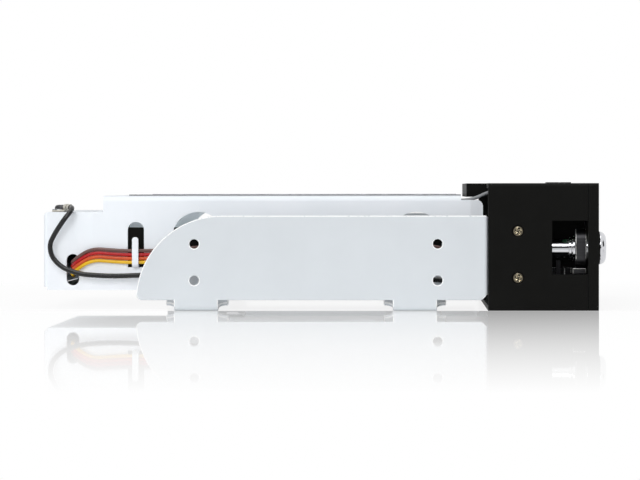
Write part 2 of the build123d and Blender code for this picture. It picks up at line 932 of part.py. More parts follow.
def housing_screws():
    """Four countersunk screws through the housing into the bracket tongues."""
    cone_height = screw_head_radius - screw_radius
    with BuildPart() as piece:
        for side in (-1, 1):
            for z in screw_heights:
                seat = Plane(
                    origin=(x_at(screw_depth), side * half_width, z),
                    x_dir=(1, 0, 0),
                    z_dir=(0, -side, 0),
                )
                with BuildSketch(Plane(seat.origin, x_dir=(1, 0, 0), z_dir=(0, 0, 1))):
                    with BuildLine():
                        Polyline(
                            (0, 0),
                            (screw_head_radius, 0),
                            (screw_radius, -side * cone_height),
                            (screw_radius, -side * screw_length),
                            (0, -side * screw_length),
                            close=True,
                        )
                    make_face()
                revolve(axis=Axis(seat.origin, (0, 1, 0)))
                for turn in (0, 90):
                    with BuildSketch(seat):
                        Rectangle(recess_length, recess_width, rotation=turn + recess_turn)
                    extrude(amount=recess_depth, mode=Mode.SUBTRACT)
    finish(piece, "housing_screws")


def hinge_pins():
    """Two short pins, pressed into the ears and running in the door's knuckle."""
    with BuildPart() as piece:
        length = ear_height + pin_engagement
        rod_z(hinge_x, hinge_y, 0, pin_radius, length)
        rod_z(hinge_x, hinge_y, bay_height - length, pin_radius, length)
        ends = piece.faces().filter_by(Axis.Z).edges()
        chamfer(ends, pin_chamfer)
    finish(piece, "hinge_pins")


def drive_door():
    """The vented door plate with its hinge knuckle, lock bore and finger recess."""
    with BuildPart() as piece:
        with BuildSketch(Plane.YZ.offset(x_at(door_thickness))):
            with Locations(((hinge_y - half_width) / 2, bay_height / 2)):
                Rectangle(half_width + hinge_y, bay_height)
        extrude(amount=door_thickness)
        fillet(piece.edges().filter_by(Axis.X).group_by(Axis.Y)[0], housing_corner)
        rod_z(hinge_x, hinge_y, 0, hinge_inset, bay_height)
        notch = ear_height + ear_clearance
        for z_limits in ((-1, notch), (bay_height - notch, bay_height + 1)):
            block(
                (-1, door_thickness + 1),
                (hinge_y - hinge_inset - ear_clearance, half_width + 1),
                z_limits,
                Mode.SUBTRACT,
            )
        bore_length = pin_engagement + ear_clearance
        for low_z in (ear_height, bay_height - ear_height - bore_length):
            rod_z(
                hinge_x, hinge_y, low_z, pin_radius + pin_running_fit, bore_length, Mode.SUBTRACT
            )
        with BuildSketch(Plane.YZ.offset(x_at(door_thickness + 1))):
            with Locations((door_vent_y, bay_height / 2)):
                with GridLocations(door_vent_pitch, bay_height, door_vent_count, 1):
                    SlotOverall(door_vent_height, door_vent_width, rotation=90)
        extrude(amount=door_thickness + 2, mode=Mode.SUBTRACT)
        rod_x(0, lock_y, lock_z, escutcheon_radius, -escutcheon_height)
        rod_x(-1, lock_y, lock_z, lock_body_radius, door_thickness + 2, Mode.SUBTRACT)
        for side in (-1, 1):
            rod_x(
                -1,
                lock_y + side * light_pipe_spacing / 2,
                light_pipe_z,
                light_pipe_radius,
                door_thickness + 2,
                Mode.SUBTRACT,
            )
        with BuildSketch(Plane.YZ.offset(front_x)):
            with Locations((-half_width + grip_inset, bay_height / 2)):
                RectangleRounded(grip_width, grip_height, grip_corner)
        extrude(amount=-grip_recess, mode=Mode.SUBTRACT)
        rod_x(
            door_thickness - catch_plate_thickness,
            lock_y,
            catch_z,
            catch_radius,
            catch_plate_thickness + 1,
            Mode.SUBTRACT,
        )
    finish(piece, "drive_door")


def door_fittings():
    """Light pipes, the steel catch plate and the magnet that holds the door shut."""
    with BuildPart() as pipes:
        for side in (-1, 1):
            y = lock_y + side * light_pipe_spacing / 2
            rod_x(0, y, light_pipe_z, light_pipe_radius, door_thickness + sheet)
        fillet(pipes.faces().sort_by(Axis.X)[-2:].edges(), sheet / 4)
    finish(pipes, "light_pipes")

    with BuildPart() as plate:
        rod_x(
            door_thickness - catch_plate_thickness,
            lock_y,
            catch_z,
            catch_radius,
            catch_plate_thickness,
        )
    finish(plate, "catch_plate")

    with BuildPart() as magnet:
        rod_x(housing_front_depth, lock_y, catch_z, catch_radius, catch_thickness)
        fillet(magnet.faces().sort_by(Axis.X)[-1].edges(), sheet / 4)
    finish(magnet, "catch_magnet")


def lock_parts():
    """The fixed lock ferrule, the turning plug, its cam and its two rings."""
    bore = lock_plug_radius + lock_running_fit
    with BuildPart() as ferrule:
        with BuildSketch(Plane.XY.offset(lock_z)):
            with BuildLine():
                dome_start = (front_x + escutcheon_height, lock_y + lock_head_radius)
                rim = (front_x + lock_proud / 3, lock_y + lock_head_radius)
                crown = (front_x + lock_proud, lock_y + bore)
                Line(dome_start, rim)
                TangentArc(crown, rim, tangent=(0, 1))
                Polyline(
                    crown,
                    (x_at(door_thickness), lock_y + bore),
                    (x_at(door_thickness), lock_y + lock_body_radius),
                    (front_x + escutcheon_height, lock_y + lock_body_radius),
                    dome_start,
                )
            make_face()
        revolve(axis=Axis((front_x, lock_y, lock_z), (1, 0, 0)))
    finish(ferrule, "lock_ferrule")

    with BuildPart() as plug:
        rod_x(-lock_proud, lock_y, lock_z, lock_plug_radius, lock_proud + lock_plug_length)
        chamfer(plug.faces().filter_by(Axis.X).edges(), plug_chamfer)
        with BuildSketch(Plane.YZ.offset(front_x + lock_proud)):
            with Locations((lock_y, lock_z)):
                Rectangle(key_slot_width, key_slot_length)
        extrude(amount=-key_slot_recess, mode=Mode.SUBTRACT)
    finish(plug, "lock_plug")

    with BuildPart() as cam:
        with BuildSketch(Plane.YZ.offset(x_at(cam_front_depth))):
            with Locations((lock_y, lock_z)):
                SlotOverall(cam_length, cam_width, rotation=90)
                Circle(lock_plug_radius, mode=Mode.SUBTRACT)
        extrude(amount=-cam_thickness)
    finish(cam, "lock_cam")

    with BuildPart() as rings:
        for depth, radius, thickness in zip(ring_depths, ring_radii, ring_thicknesses):
            with BuildSketch(Plane.YZ.offset(x_at(depth))):
                with Locations((lock_y, lock_z)):
                    Circle(radius)
                    Circle(lock_plug_radius, mode=Mode.SUBTRACT)
            extrude(amount=-thickness)
    finish(rings, "lock_rings")


def lock_pocket_parts():
    """The strike under the cam, the key switch and the signal board with its lamps."""
    wall_y = -tunnel_outer_y
    with BuildPart() as strike:
        block(
            (housing_front_depth + front_frame + sheet, strike_front_depth + strike_length),
            (wall_y, wall_y - sheet),
            (strike_low_z, strike_height),
        )
        block(
            (strike_front_depth, strike_front_depth + strike_tongue_length),
            (wall_y - pocket_inset, wall_y - strike_reach),
            (strike_height - strike_thickness, strike_height),
        )
        block(
            (strike_front_depth, strike_front_depth + strike_length / 2),
            (wall_y - pocket_inset, wall_y - pocket_inset - sheet),
            (strike_low_z, strike_height),
        )
    finish(strike, "lock_strike")

    with BuildPart() as switch:
        block(
            (switch_front_depth, switch_front_depth + switch_length),
            (lock_y - switch_width / 2, lock_y + switch_width / 2),
            (housing_roof, switch_top_z),
        )
        fillet(switch.edges().filter_by(Axis.X).group_by(Axis.Z)[-1], sheet / 2)
        block(
            (switch_post_depth, switch_post_depth + switch_post),
            (lock_y - switch_post / 2, lock_y + switch_post / 2),
            (switch_top_z - sheet, switch_post_top_z),
        )
    finish(switch, "key_switch")

    with BuildPart() as board:
        block(
            (led_board_depth, led_board_depth + led_board_thickness),
            (lock_y - led_board_width / 2, lock_y + led_board_width / 2),
            (led_board_low_z, bay_height - housing_roof),
        )
    finish(board, "led_board")

    with BuildPart() as lamps:
        for side in (-1, 1):
            y = lock_y + side * light_pipe_spacing / 2
            rod_x(led_board_depth - led_length, y, light_pipe_z, led_radius, led_length)
        domes = lamps.faces().filter_by(Axis.X).group_by(Axis.X)[-1]
        fillet(domes.edges(), 0.8 * led_radius)
    finish(lamps, "status_leds")


def ejector_parts():
    """The crank on the door, the pusher strip with its foot, and its two studs."""
    pin_x = hinge_x - crank_throw
    pin_y = hinge_y - crank_throw
    yoke_top_z = ejector_low_z + ejector_height
    half_gap = crank_pin_radius + yoke_clearance
    strip_inner = cage_outer_y + ejector_gap
    strip_outer = strip_inner + ejector_sheet
    pin_depth = front_x - pin_x
    prong_half = half_gap + yoke_prong
    with BuildPart() as crank:
        arm_top = crank_arm_low_z + crank_arm_thickness
        block(
            (door_thickness, pin_depth + crank_arm_width / 2),
            (pin_y - crank_arm_width / 2, pin_y + crank_arm_width / 2),
            (crank_arm_low_z, arm_top),
        )
        fillet(crank.edges().filter_by(Axis.Z).group_by(Axis.X)[0], crank_arm_width / 3)
        block(
            (door_thickness, door_thickness + sheet),
            (pin_y - crank_arm_width, pin_y + crank_arm_width * 0.8),
            (crank_arm_low_z, crank_arm_low_z + crank_base_height),
        )
        pin_low_z = yoke_top_z - ejector_sheet - yoke_clearance
        rod_z(pin_x, pin_y, pin_low_z, crank_pin_radius, crank_arm_low_z - pin_low_z + sheet)
    finish(crank, "ejector_crank")

    foot_depth = drive_rear_depth
    with BuildPart() as strip:
        block(
            (pin_depth - prong_half, foot_depth),
            (strip_inner, strip_outer),
            (ejector_low_z, yoke_top_z),
        )
        with BuildSketch(Plane.XY.offset(yoke_top_z - ejector_sheet)):
            with BuildLine():
                Polyline(
                    (x_at(pin_depth - prong_half), strip_inner),
                    (x_at(pin_depth - prong_half), pin_y + yoke_reach),
                    (x_at(pin_depth + prong_half), pin_y + yoke_reach),
                    (x_at(pin_depth + prong_half + 4 * sheet), strip_inner),
                    close=True,
                )
            make_face()
            slot_inner = pin_y - yoke_slot_depth - half_gap
            with Locations((pin_x, (slot_inner + pin_y + yoke_reach + 1) / 2)):
                Rectangle(2 * half_gap, pin_y + yoke_reach + 1 - slot_inner, mode=Mode.SUBTRACT)
        extrude(amount=ejector_sheet)
        for depth in stud_depths:
            half = stud_radius + stud_clearance
            slot_length = ejector_travel + 2 * half
            with BuildSketch(Plane.XZ.offset(-strip_inner + sheet)):
                centre_x = x_at(depth + ejector_travel / 2)
                with Locations((centre_x, ejector_low_z + ejector_height / 2)):
                    SlotOverall(slot_length, 2 * half)
            extrude(amount=-3 * ejector_sheet, mode=Mode.SUBTRACT)
        block(
            (foot_depth - ejector_sheet, foot_depth),
            (strip_inner - foot_length, strip_outer),
            (ejector_low_z, yoke_top_z),
        )
        fillet(strip.edges().filter_by(Axis.Z).group_by(Axis.X)[0].group_by(Axis.Y)[-1], 0.9 * sheet)
    finish(strip, "ejector_slide")

    with BuildPart() as pad:
        block(
            (foot_depth - ejector_sheet - foot_pad, foot_depth - ejector_sheet),
            (strip_inner - foot_length, strip_inner - foot_length + ejector_height),
            (ejector_low_z + drive_low_z - floor_top_z - ledge_height, yoke_top_z),
        )
    finish(pad, "ejector_pad")

    with BuildPart() as studs:
        for depth in stud_depths:
            z = ejector_low_z + ejector_height / 2
            shoulder = ejector_gap + ejector_sheet + stud_clearance
            rod_y(depth, cage_outer_y, z, stud_radius, shoulder)
            rod_y(depth, cage_outer_y + shoulder, z, stud_head_radius, stud_head_height)
        outer_faces = studs.faces().filter_by(Axis.Y).group_by(Axis.Y)[-1]
        fillet(outer_faces.edges(), stud_head_height / 2)
    finish(studs, "ejector_studs")


def tube(name, route, radius):
    """A wire along straight runs joined by arcs as large as the runs allow."""
    points = [Vector(*point) for point in route]
    bends = []
    for before, here, after in zip(points, points[1:], points[2:]):
        turn = (here - before).get_angle(after - here)
        shorter = min((here - before).length, (after - here).length)
        bends.append(0.45 * shorter / tan(radians(turn) / 2))
    with BuildPart() as piece:
        with BuildLine() as path:
            FilletPolyline(*points, radius=bends)
        with BuildSketch(Plane(origin=points[0], z_dir=points[1] - points[0])):
            Circle(radius)
        sweep(path=path.line)
    length = sum(edge.length for edge in path.line.edges())
    expected = length * pi * radius**2
    smallest = min(bends)
    print(
        f"{name}: length {length:.1f}, smallest arc {smallest:.1f}, "
        f"volume ratio {piece.part.volume / expected:.4f}"
    )
    print("   arcs", " ".join(f"{bend:.1f}" for bend in bends))
    finish(piece, name)


def wiring():
    """The four-wire ribbon, the ground wire, the lamp leads and the ring terminal."""
    slot_x = x_at(cable_slot_depth)
    ribbon_y = -(cage_outer_y + 1.2)
    switch_rear = x_at(switch_front_depth + switch_length)
    for index, colour in enumerate(("yellow", "orange", "red", "brown")):
        lift = index * ribbon_pitch
        tube(
            f"ribbon_{colour}",
            [
                (slot_x - 0.4, -inner_front_y + 6.4, 10.8 + lift),
                (slot_x - 0.2, ribbon_y - 0.1, 11.9 + lift),
                (slot_x + 6.2, ribbon_y - 0.2, 16.3 + lift),
                (slot_x + 17.0, ribbon_y, 15.4 + lift),
                (slot_x + 31.0, ribbon_y - 0.6, 15.6 + lift),
                (slot_x + 52.0, ribbon_y - 1.8, 17.6 + lift),
                (switch_rear - 72.0, ribbon_y - 3.2, 18.8 + lift),
                (switch_rear - 35.0, ribbon_y - 3.6, 17.6 + lift),
                (switch_rear - 13.0, lock_y + 2.6, 8.6 + lift),
                (switch_rear, lock_y + 2.2, 4.6 + lift),
            ],
            ribbon_radius,
        )
    barrel_axis = Vector(*terminal_direction).normalized()
    barrel_turn = degrees(atan2(barrel_axis.Y, barrel_axis.X))
    eye = Vector(terminal_x, terminal_y, rear_top_z + terminal_barrel_radius + terminal_lift)
    wire_start = eye + barrel_axis * (terminal_eye_length + terminal_barrel_length)
    wire_exit = wire_start + barrel_axis * 4 * ground_radius
    tube(
        "ground_wire",
        [
            wire_start,
            wire_exit,
            (wire_exit.X - 0.2, wire_exit.Y - 3.0, wire_exit.Z - 1.2),
            (wire_exit.X - 2.2, wire_exit.Y - 4.5, wire_exit.Z - 3.8),
            (rear_x + 4.9, -58.6, 26.0),
            (rear_x + 2.5, -58.2, 21.6),
            (rear_x + 3.2, -58.2, 17.4),
            (rear_x + 6.5, -58.6, 13.9),
            (rear_x + 12.6, -58.9, 11.6),
            (rear_x + 23.1, -59.0, 10.9),
            (rear_x + 40.1, -59.2, 11.6),
            (rear_x + 68.1, -60.6, 12.4),
            (switch_rear - 58.4, -61.4, 12.0),
            (switch_rear - 26.4, lock_y - 1.0, 9.0),
            (switch_rear - 8.4, lock_y - 2.0, 7.0),
            (switch_rear, lock_y - 2.2, 6.4),
        ],
        ground_radius,
    )
    board_front_x = x_at(board_front_depth)
    board_rear_x = x_at(led_board_depth + led_board_thickness)
    under_top_z = cage_inner_top_z - lead_radius - 0.1
    over_tunnel_z = tunnel_roof_z + tunnel_wall + lead_radius + 0.2
    under_roof_z = bay_height - housing_roof - lead_radius - 0.15
    for colour, y, turn_y, gap_z, end_z in (
        ("grey", -46.4, lock_y + 4.0, under_roof_z, 36.4),
        ("black", -44.6, lock_y + 6.0, over_tunnel_z, 34.0),
    ):
        tube(
            f"led_lead_{colour}",
            [
                (board_front_x, y, 28.6),
                (board_front_x + 5.0, y + 0.1, 29.4),
                (board_front_x + 12.0, y + 0.3, under_top_z - 0.6),
                (board_front_x + 26.0, y, under_top_z),
                (board_front_x + 60.0, y + 0.5, under_top_z - 0.02),
                (x_at(top_front_depth) - 19.8, y, under_top_z),
                (x_at(top_front_depth) + 3.4, y - 0.2, under_top_z + 0.03),
                (x_at(housing_depth) + 1.9, y - 0.9, gap_z - 0.05),
                (x_at(housing_depth) + 10.5, turn_y + 5.5, gap_z),
                (board_rear_x - 6.5, turn_y + 0.4, gap_z - 0.3),
                (board_rear_x, turn_y, end_z),
            ],
            lead_radius,
        )

    with BuildPart() as terminal:
        with BuildSketch(Plane.XY.offset(rear_top_z)):
            with Locations((terminal_x, terminal_y)):
                Circle(terminal_ring_radius)
            neck_length = terminal_eye_length + sheet
            neck = eye + barrel_axis * neck_length / 2
            with Locations((neck.X, neck.Y)):
                Rectangle(neck_length, terminal_neck_width, rotation=barrel_turn)
            with Locations((terminal_x, terminal_y)):
                Circle(terminal_screw_radius + screw_clearance, mode=Mode.SUBTRACT)
        extrude(amount=terminal_thickness)
        with BuildSketch(Plane(origin=eye + barrel_axis * terminal_eye_length, z_dir=barrel_axis)):
            Circle(terminal_barrel_radius)
        extrude(amount=terminal_barrel_length)
    finish(terminal, "ring_terminal")

    with BuildPart() as screw:
        top = rear_top_z + terminal_thickness
        rod_z(terminal_x, terminal_y, top, terminal_head_radius, terminal_head_height)
        fillet(screw.faces().sort_by(Axis.Z)[-1].edges(), 0.6 * terminal_head_height)
        rod_z(
            terminal_x,
            terminal_y,
            rear_top_z - 3 * sheet,
            terminal_screw_radius,
            3 * sheet + terminal_thickness,
        )
        with BuildSketch(Plane.XY.offset(top + terminal_head_height)):
            with Locations((terminal_x, terminal_y)):
                for turn in (0, 90):
                    Rectangle(recess_length, recess_width, rotation=turn + recess_turn)
        extrude(amount=-recess_depth, mode=Mode.SUBTRACT)
    finish(screw, "terminal_screw")


side_bracket("left_side_bracket", -1)
side_bracket("right_side_bracket", 1)
bracket_rivets()
cage_body()
cage_floor()
guide_rail("left_guide_rail", -1, drive_rear_depth)
guide_rail("right_guide_rail", 1, drive_rear_depth - foot_clearance)
rear_cover()
backplane()
front_housing()
housing_screws()
hinge_pins()
drive_door()
door_fittings()
lock_parts()
lock_pocket_parts()
ejector_parts()
wiring()
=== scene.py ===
"""Looks of the hot swap drive cage: finishes, fine detail, floor, light and camera.

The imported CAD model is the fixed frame. Sizes here are in millimetres and every
mesh is put in the frame in metres: +X to the door, +Y to the hinge, +Z up.
"""

import json
import logging
import math
from collections.abc import Callable, Iterator
from contextlib import contextmanager
from dataclasses import dataclass
from enum import Enum

import bpy
from mathutils import Matrix, Vector

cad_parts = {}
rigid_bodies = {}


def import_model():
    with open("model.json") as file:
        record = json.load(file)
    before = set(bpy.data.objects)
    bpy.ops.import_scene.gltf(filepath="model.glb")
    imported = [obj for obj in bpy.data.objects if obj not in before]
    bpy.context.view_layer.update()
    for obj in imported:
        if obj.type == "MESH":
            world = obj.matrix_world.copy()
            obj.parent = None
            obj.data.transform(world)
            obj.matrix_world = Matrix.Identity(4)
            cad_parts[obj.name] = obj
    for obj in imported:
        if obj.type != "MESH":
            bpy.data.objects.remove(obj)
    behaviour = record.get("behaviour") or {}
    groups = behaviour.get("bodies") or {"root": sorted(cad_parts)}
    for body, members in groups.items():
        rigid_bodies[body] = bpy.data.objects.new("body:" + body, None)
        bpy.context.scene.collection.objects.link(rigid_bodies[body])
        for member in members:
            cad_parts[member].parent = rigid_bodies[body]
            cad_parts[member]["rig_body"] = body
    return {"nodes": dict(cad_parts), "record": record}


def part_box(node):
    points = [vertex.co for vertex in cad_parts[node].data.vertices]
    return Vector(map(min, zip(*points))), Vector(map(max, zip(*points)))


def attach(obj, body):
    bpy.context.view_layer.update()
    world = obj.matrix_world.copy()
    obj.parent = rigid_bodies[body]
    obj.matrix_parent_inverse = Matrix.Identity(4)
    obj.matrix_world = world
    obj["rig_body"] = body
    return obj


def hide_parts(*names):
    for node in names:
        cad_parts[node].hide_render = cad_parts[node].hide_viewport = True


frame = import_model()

MM = 0.001
MERGE = 2e-6  # in metres: points closer than this become one
Colour = tuple[float, float, float]
Steps = tuple[int, int, int]
Point = tuple[float, float, float]
Piece = bpy.types.Object
Socket = bpy.types.NodeSocket
Tree = bpy.types.NodeTree
Test = Callable[[Vector, Vector], bool]
log = logging.getLogger("drive_cage")


def srgb(red: int, green: int, blue: int) -> Colour:
    """Turns a colour of 0 to 255 steps into the linear values that shaders use."""
    shares = [value / 255 for value in (red, green, blue)]
    return tuple(s / 12.92 if s <= 0.04045 else ((s + 0.055) / 1.055) ** 2.4 for s in shares)


class Grain(Enum):
    """The small texture of a surface, by the effect that makes it."""

    POWDER = "powder"
    MOULDED = "moulded"
    BRUSHED = "brushed"
    POLISHED = "brushed"
    SHEATH = "striation"


class Sheet:
    """Puts nodes into one node tree and joins them."""

    def __init__(self, tree: Tree) -> None:
        """Keeps the tree that the nodes go into."""
        self.tree = tree

    @classmethod
    def of(cls, owner: bpy.types.ID) -> "Sheet":
        """Returns the emptied sheet of a material or a world."""
        owner.use_nodes = True
        owner.node_tree.nodes.clear()
        return cls(owner.node_tree)

    def add(self, kind: str, inputs: dict | None = None, **settings: object) -> bpy.types.Node:
        """Adds a node, with sockets or plain values for its inputs and its properties."""
        node = self.tree.nodes.new(kind)
        for name, value in settings.items():
            setattr(node, name, value)
        for name, value in (inputs or {}).items():
            self.put(value, node.inputs[name])
        return node

    def put(self, value: object, target: Socket) -> None:
        """Joins a socket to the target, or writes a plain value on it."""
        if isinstance(value, Socket):
            self.tree.links.new(value, target)
        else:
            target.default_value = value

    def group(self, tree: Tree, **inputs: object) -> bpy.types.bpy_prop_collection:
        """Adds a node group with these inputs and returns its outputs."""
        return self.add("ShaderNodeGroup", inputs, node_tree=tree).outputs

    def sums(self, operation: str, first: object, second: object) -> Socket:
        """Returns the result of a sum on two values, held between 0 and 1."""
        inputs = {0: first, 1: second}
        return self.add("ShaderNodeMath", inputs, operation=operation, use_clamp=True).outputs[0]

    def product(self, first: object, *others: object) -> Socket:
        """Multiplies values, held between 0 and 1 at each step."""
        for other in others:
            first = self.sums("MULTIPLY", first, other)
        return first

    def span(self, value: object, low: float, high: float, to_low: float = 0.0,
             to_high: float = 1.0) -> Socket:
        """Maps a value from one range to another, held at the ends."""
        inputs = {"Value": value, "From Min": low, "From Max": high, "To Min": to_low,
                  "To Max": to_high}
        return self.add("ShaderNodeMapRange", inputs).outputs["Result"]

    def blend(self, share: object, first: object, second: object) -> Socket:
        """Mixes two colours by a share."""
        node = self.add("ShaderNodeMix", {"Factor": share}, data_type="RGBA")
        for value, index in ((first, 6), (second, 7)):
            self.put(value if isinstance(value, Socket) else (*value, 1.0), node.inputs[index])
        return node.outputs[2]

    def noise(self, vector: object, scale: object, detail: float = 3.0,
              roughness: float = 0.5) -> Socket:
        """Adds a noise and returns its value."""
        inputs = {"Vector": vector, "Scale": scale, "Detail": detail, "Roughness": roughness}
        return self.add("ShaderNodeTexNoise", inputs).outputs["Fac"]

    def bump(self, height: object, depth: float) -> Socket:
        """Turns a height into a normal; the depth is in millimetres."""
        inputs = {"Distance": depth * MM, "Strength": 1.0, "Height": height}
        return self.add("ShaderNodeBump", inputs).outputs["Normal"]

    def seen(self) -> Socket:
        """Returns 1 for camera, glossy and transmitted rays, else 0."""
        rays = self.add("ShaderNodeLightPath").outputs
        share = self.sums("ADD", rays["Is Camera Ray"], rays["Is Glossy Ray"])
        return self.sums("ADD", share, rays["Is Transmission Ray"])

    def mix(self, share: Socket, first: bpy.types.Node, second: bpy.types.Node) -> bpy.types.Node:
        """Mixes the shaders of two nodes by a share."""
        inputs = {0: share, 1: first.outputs[0], 2: second.outputs[0]}
        return self.add("ShaderNodeMixShader", inputs)


class Effects:
    """The shared effects, each a node group that is built once."""

    def __init__(self) -> None:
        """Builds every group."""
        self.powder = self._powder()
        self.moulded = self._moulded()
        self.brushed = self._brushed()
        self.handling = self._handling()
        self.broken_edge_highlight = self._broken_edge_highlight()
        self.dust = self._dust()
        self.striation = self._striation()

    def _new(self, name: str, inputs: str, outputs: str) -> tuple:
        """Starts a group.

        Args:
            name: The group's name.
            inputs: The names of its inputs after Place; all but Facing are numbers.
            outputs: The names of its outputs, all numbers.

        Returns:
            The sheet of the group's tree, and then its inputs' sockets, Place first.
        """
        tree = bpy.data.node_groups.new(name, "ShaderNodeTree")
        for label in ("Place", *inputs.split()):
            kind = "NodeSocketVector" if label in ("Place", "Facing") else "NodeSocketFloat"
            tree.interface.new_socket(label, in_out="INPUT", socket_type=kind)
        for label in outputs.split():
            tree.interface.new_socket(label, in_out="OUTPUT", socket_type="NodeSocketFloat")
        sheet = Sheet(tree)
        self.outside = sheet.add("NodeGroupOutput").inputs
        sockets = sheet.add("NodeGroupInput").outputs
        return sheet, sockets["Place"], *(sockets[label] for label in inputs.split())

    def _close(self, sheet: Sheet, mask: Socket, height: Socket | None = None) -> Tree:
        """Joins the group's outputs and returns its tree."""
        if height is not None:
            sheet.put(height, self.outside["Height"])
        sheet.put(mask, self.outside["Mask"])
        return sheet.tree

    def _powder(self) -> Tree:
        """Fine orange peel of a powder coat."""
        sheet, place, scale = self._new("Powder coat", "Scale", "Height Mask")
        peel = sheet.noise(place, scale, 2.0, 0.45)
        wide = sheet.noise(place, 0.06)
        return self._close(sheet, sheet.span(wide, 0.35, 0.65), peel)

    def _moulded(self) -> Tree:
        """Spark-eroded texture of a moulded face."""
        sheet, place, scale = self._new("Moulded skin", "Scale", "Height Mask")
        inputs = {"Vector": place, "Scale": scale}
        pits = sheet.add("ShaderNodeTexVoronoi", inputs, feature="SMOOTH_F1")
        flow = sheet.noise(place, 0.09, 4.0)
        return self._close(sheet, sheet.span(flow, 0.3, 0.7), pits.outputs["Distance"])

    def _brushed(self) -> Tree:
        """Long fine scratches along X, as from a rolled or brushed sheet."""
        sheet, place, scale = self._new("Brushed grain", "Scale", "Height Mask")
        stretch = sheet.add("ShaderNodeMapping", {"Scale": (0.05, 1.0, 1.0), "Vector": place})
        lines = sheet.noise(stretch.outputs["Vector"], scale, 4.0, 0.6)
        return self._close(sheet, sheet.span(lines, 0.3, 0.7), lines)

    def _handling(self) -> Tree:
        """Faint smears where hands and packing have touched."""
        sheet, place, amount = self._new("Handling", "Amount", "Mask")
        patch = sheet.span(sheet.noise(place, 0.035, 2.0), 0.48, 0.66)
        streak = sheet.span(sheet.noise(place, 0.4, 5.0, 0.7), 0.4, 0.7)
        return self._close(sheet, sheet.product(patch, streak, amount))

    def _broken_edge_highlight(self) -> Tree:
        """Breaks up an edge mask, so that the painted edge highlight looks uneven."""
        sheet, place, edge, amount = self._new("Broken edge highlight", "Edge Amount", "Mask")
        broken = sheet.span(sheet.noise(place, 0.9, 4.0, 0.7), 0.35, 0.6)
        return self._close(sheet, sheet.product(edge, broken, amount))

    def _dust(self) -> Tree:
        """A thin film of dust on faces that look up."""
        sheet, place, facing, amount = self._new("Settled dust", "Facing Amount", "Mask")
        parts = sheet.add("ShaderNodeSeparateXYZ", {0: facing})
        upward = sheet.span(parts.outputs["Z"], 0.5, 1.0)
        fleck = sheet.span(sheet.noise(place, 1.6, 5.0, 0.8), 0.45, 0.75)
        return self._close(sheet, sheet.product(upward, fleck, amount))

    def _striation(self) -> Tree:
        """Slow variation along a wire's sheath."""
        sheet, place, scale = self._new("Sheath", "Scale", "Height Mask")
        skin = sheet.noise(place, scale)
        slow = sheet.noise(place, 0.2, 2.0)
        return self._close(sheet, sheet.span(slow, 0.35, 0.65), skin)


@dataclass(frozen=True)
class Finish:
    """A surface finish: its colours in 0 to 255 steps, its gloss and its small texture."""

    name: str
    colour: Steps
    shade: Steps
    rough: float
    rough_span: float = 0.06
    metal: float = 0.0
    grain: Grain = Grain.MOULDED
    grain_scale: float = 3.0
    grain_depth: float = 0.01
    specular: float = 0.5
    coat: float = 0.0
    coat_rough: float = 0.15
    handling: float = 0.3
    smear_rough: float = 0.25
    # Painted highlight: the edge mask's faces, rounded edges that look up or sideways, take this
    # light colour.
    edge_highlight: float = 0.0
    edge_highlight_colour: Steps = (255, 255, 255)
    dust: float = 0.0
    dust_colour: Colour = (0.42, 0.41, 0.39)
    transmission: float = 0.0

    def grain_group(self, effects: Effects) -> Tree:
        """Returns the group that makes this finish's small texture."""
        return getattr(effects, self.grain.value)

    def material(self, effects: Effects) -> bpy.types.Material:
        """Builds the material.

        Args:
            effects: The shared node groups.

        Returns:
            The finished material.
        """
        made = bpy.data.materials.new(self.name)
        sheet = Sheet.of(made)
        place = self.place(sheet)
        grain = sheet.group(self.grain_group(effects), Place=place, Scale=self.grain_scale)
        colour = sheet.blend(grain["Mask"], srgb(*self.colour), srgb(*self.shade))
        colour = self.pattern(sheet, place, colour)
        # Painted highlight on the rounded edges, broken up by noise.
        if self.edge_highlight > 0:
            edge = sheet.add("ShaderNodeAttribute", attribute_name="edge").outputs["Fac"]
            edge_lit = sheet.group(effects.broken_edge_highlight, Place=place, Edge=edge, Amount=self.edge_highlight)
            colour = sheet.blend(edge_lit["Mask"], colour, srgb(*self.edge_highlight_colour))
        if self.dust > 0:
            facing = sheet.add("ShaderNodeNewGeometry").outputs["Normal"]
            film = sheet.group(effects.dust, Place=place, Facing=facing, Amount=self.dust)
            colour = sheet.blend(film["Mask"], colour, self.dust_colour)
        half = self.rough_span / 2
        rough = sheet.span(grain["Mask"], 0.0, 1.0, self.rough - half, self.rough + half)
        smear = sheet.group(effects.handling, Place=place, Amount=self.handling)
        lifted = sheet.product(smear["Mask"], self.smear_rough)
        shader = sheet.add("ShaderNodeBsdfPrincipled", {
            "Base Color": colour,
            "Roughness": sheet.sums("ADD", rough, lifted),
            "Normal": sheet.bump(grain["Height"], self.grain_depth),
            "Metallic": self.metal,
            "Specular IOR Level": self.specular,
            "Coat Weight": self.coat,
            "Coat Roughness": self.coat_rough,
            "Transmission Weight": self.transmission,
        })
        sheet.add("ShaderNodeOutputMaterial", {"Surface": shader.outputs["BSDF"]})
        return made

    def place(self, sheet: Sheet) -> Socket:
        """Returns the surface point in millimetres of the object's own frame."""
        point = sheet.add("ShaderNodeTexCoord").outputs["Object"]
        inputs = {"Scale": (1 / MM,) * 3, "Vector": point}
        return sheet.add("ShaderNodeMapping", inputs).outputs["Vector"]

    def pattern(self, sheet: Sheet, place: Socket, colour: Socket) -> Socket:
        """Returns the colour as it is; a finish with a pattern changes it."""
        return colour


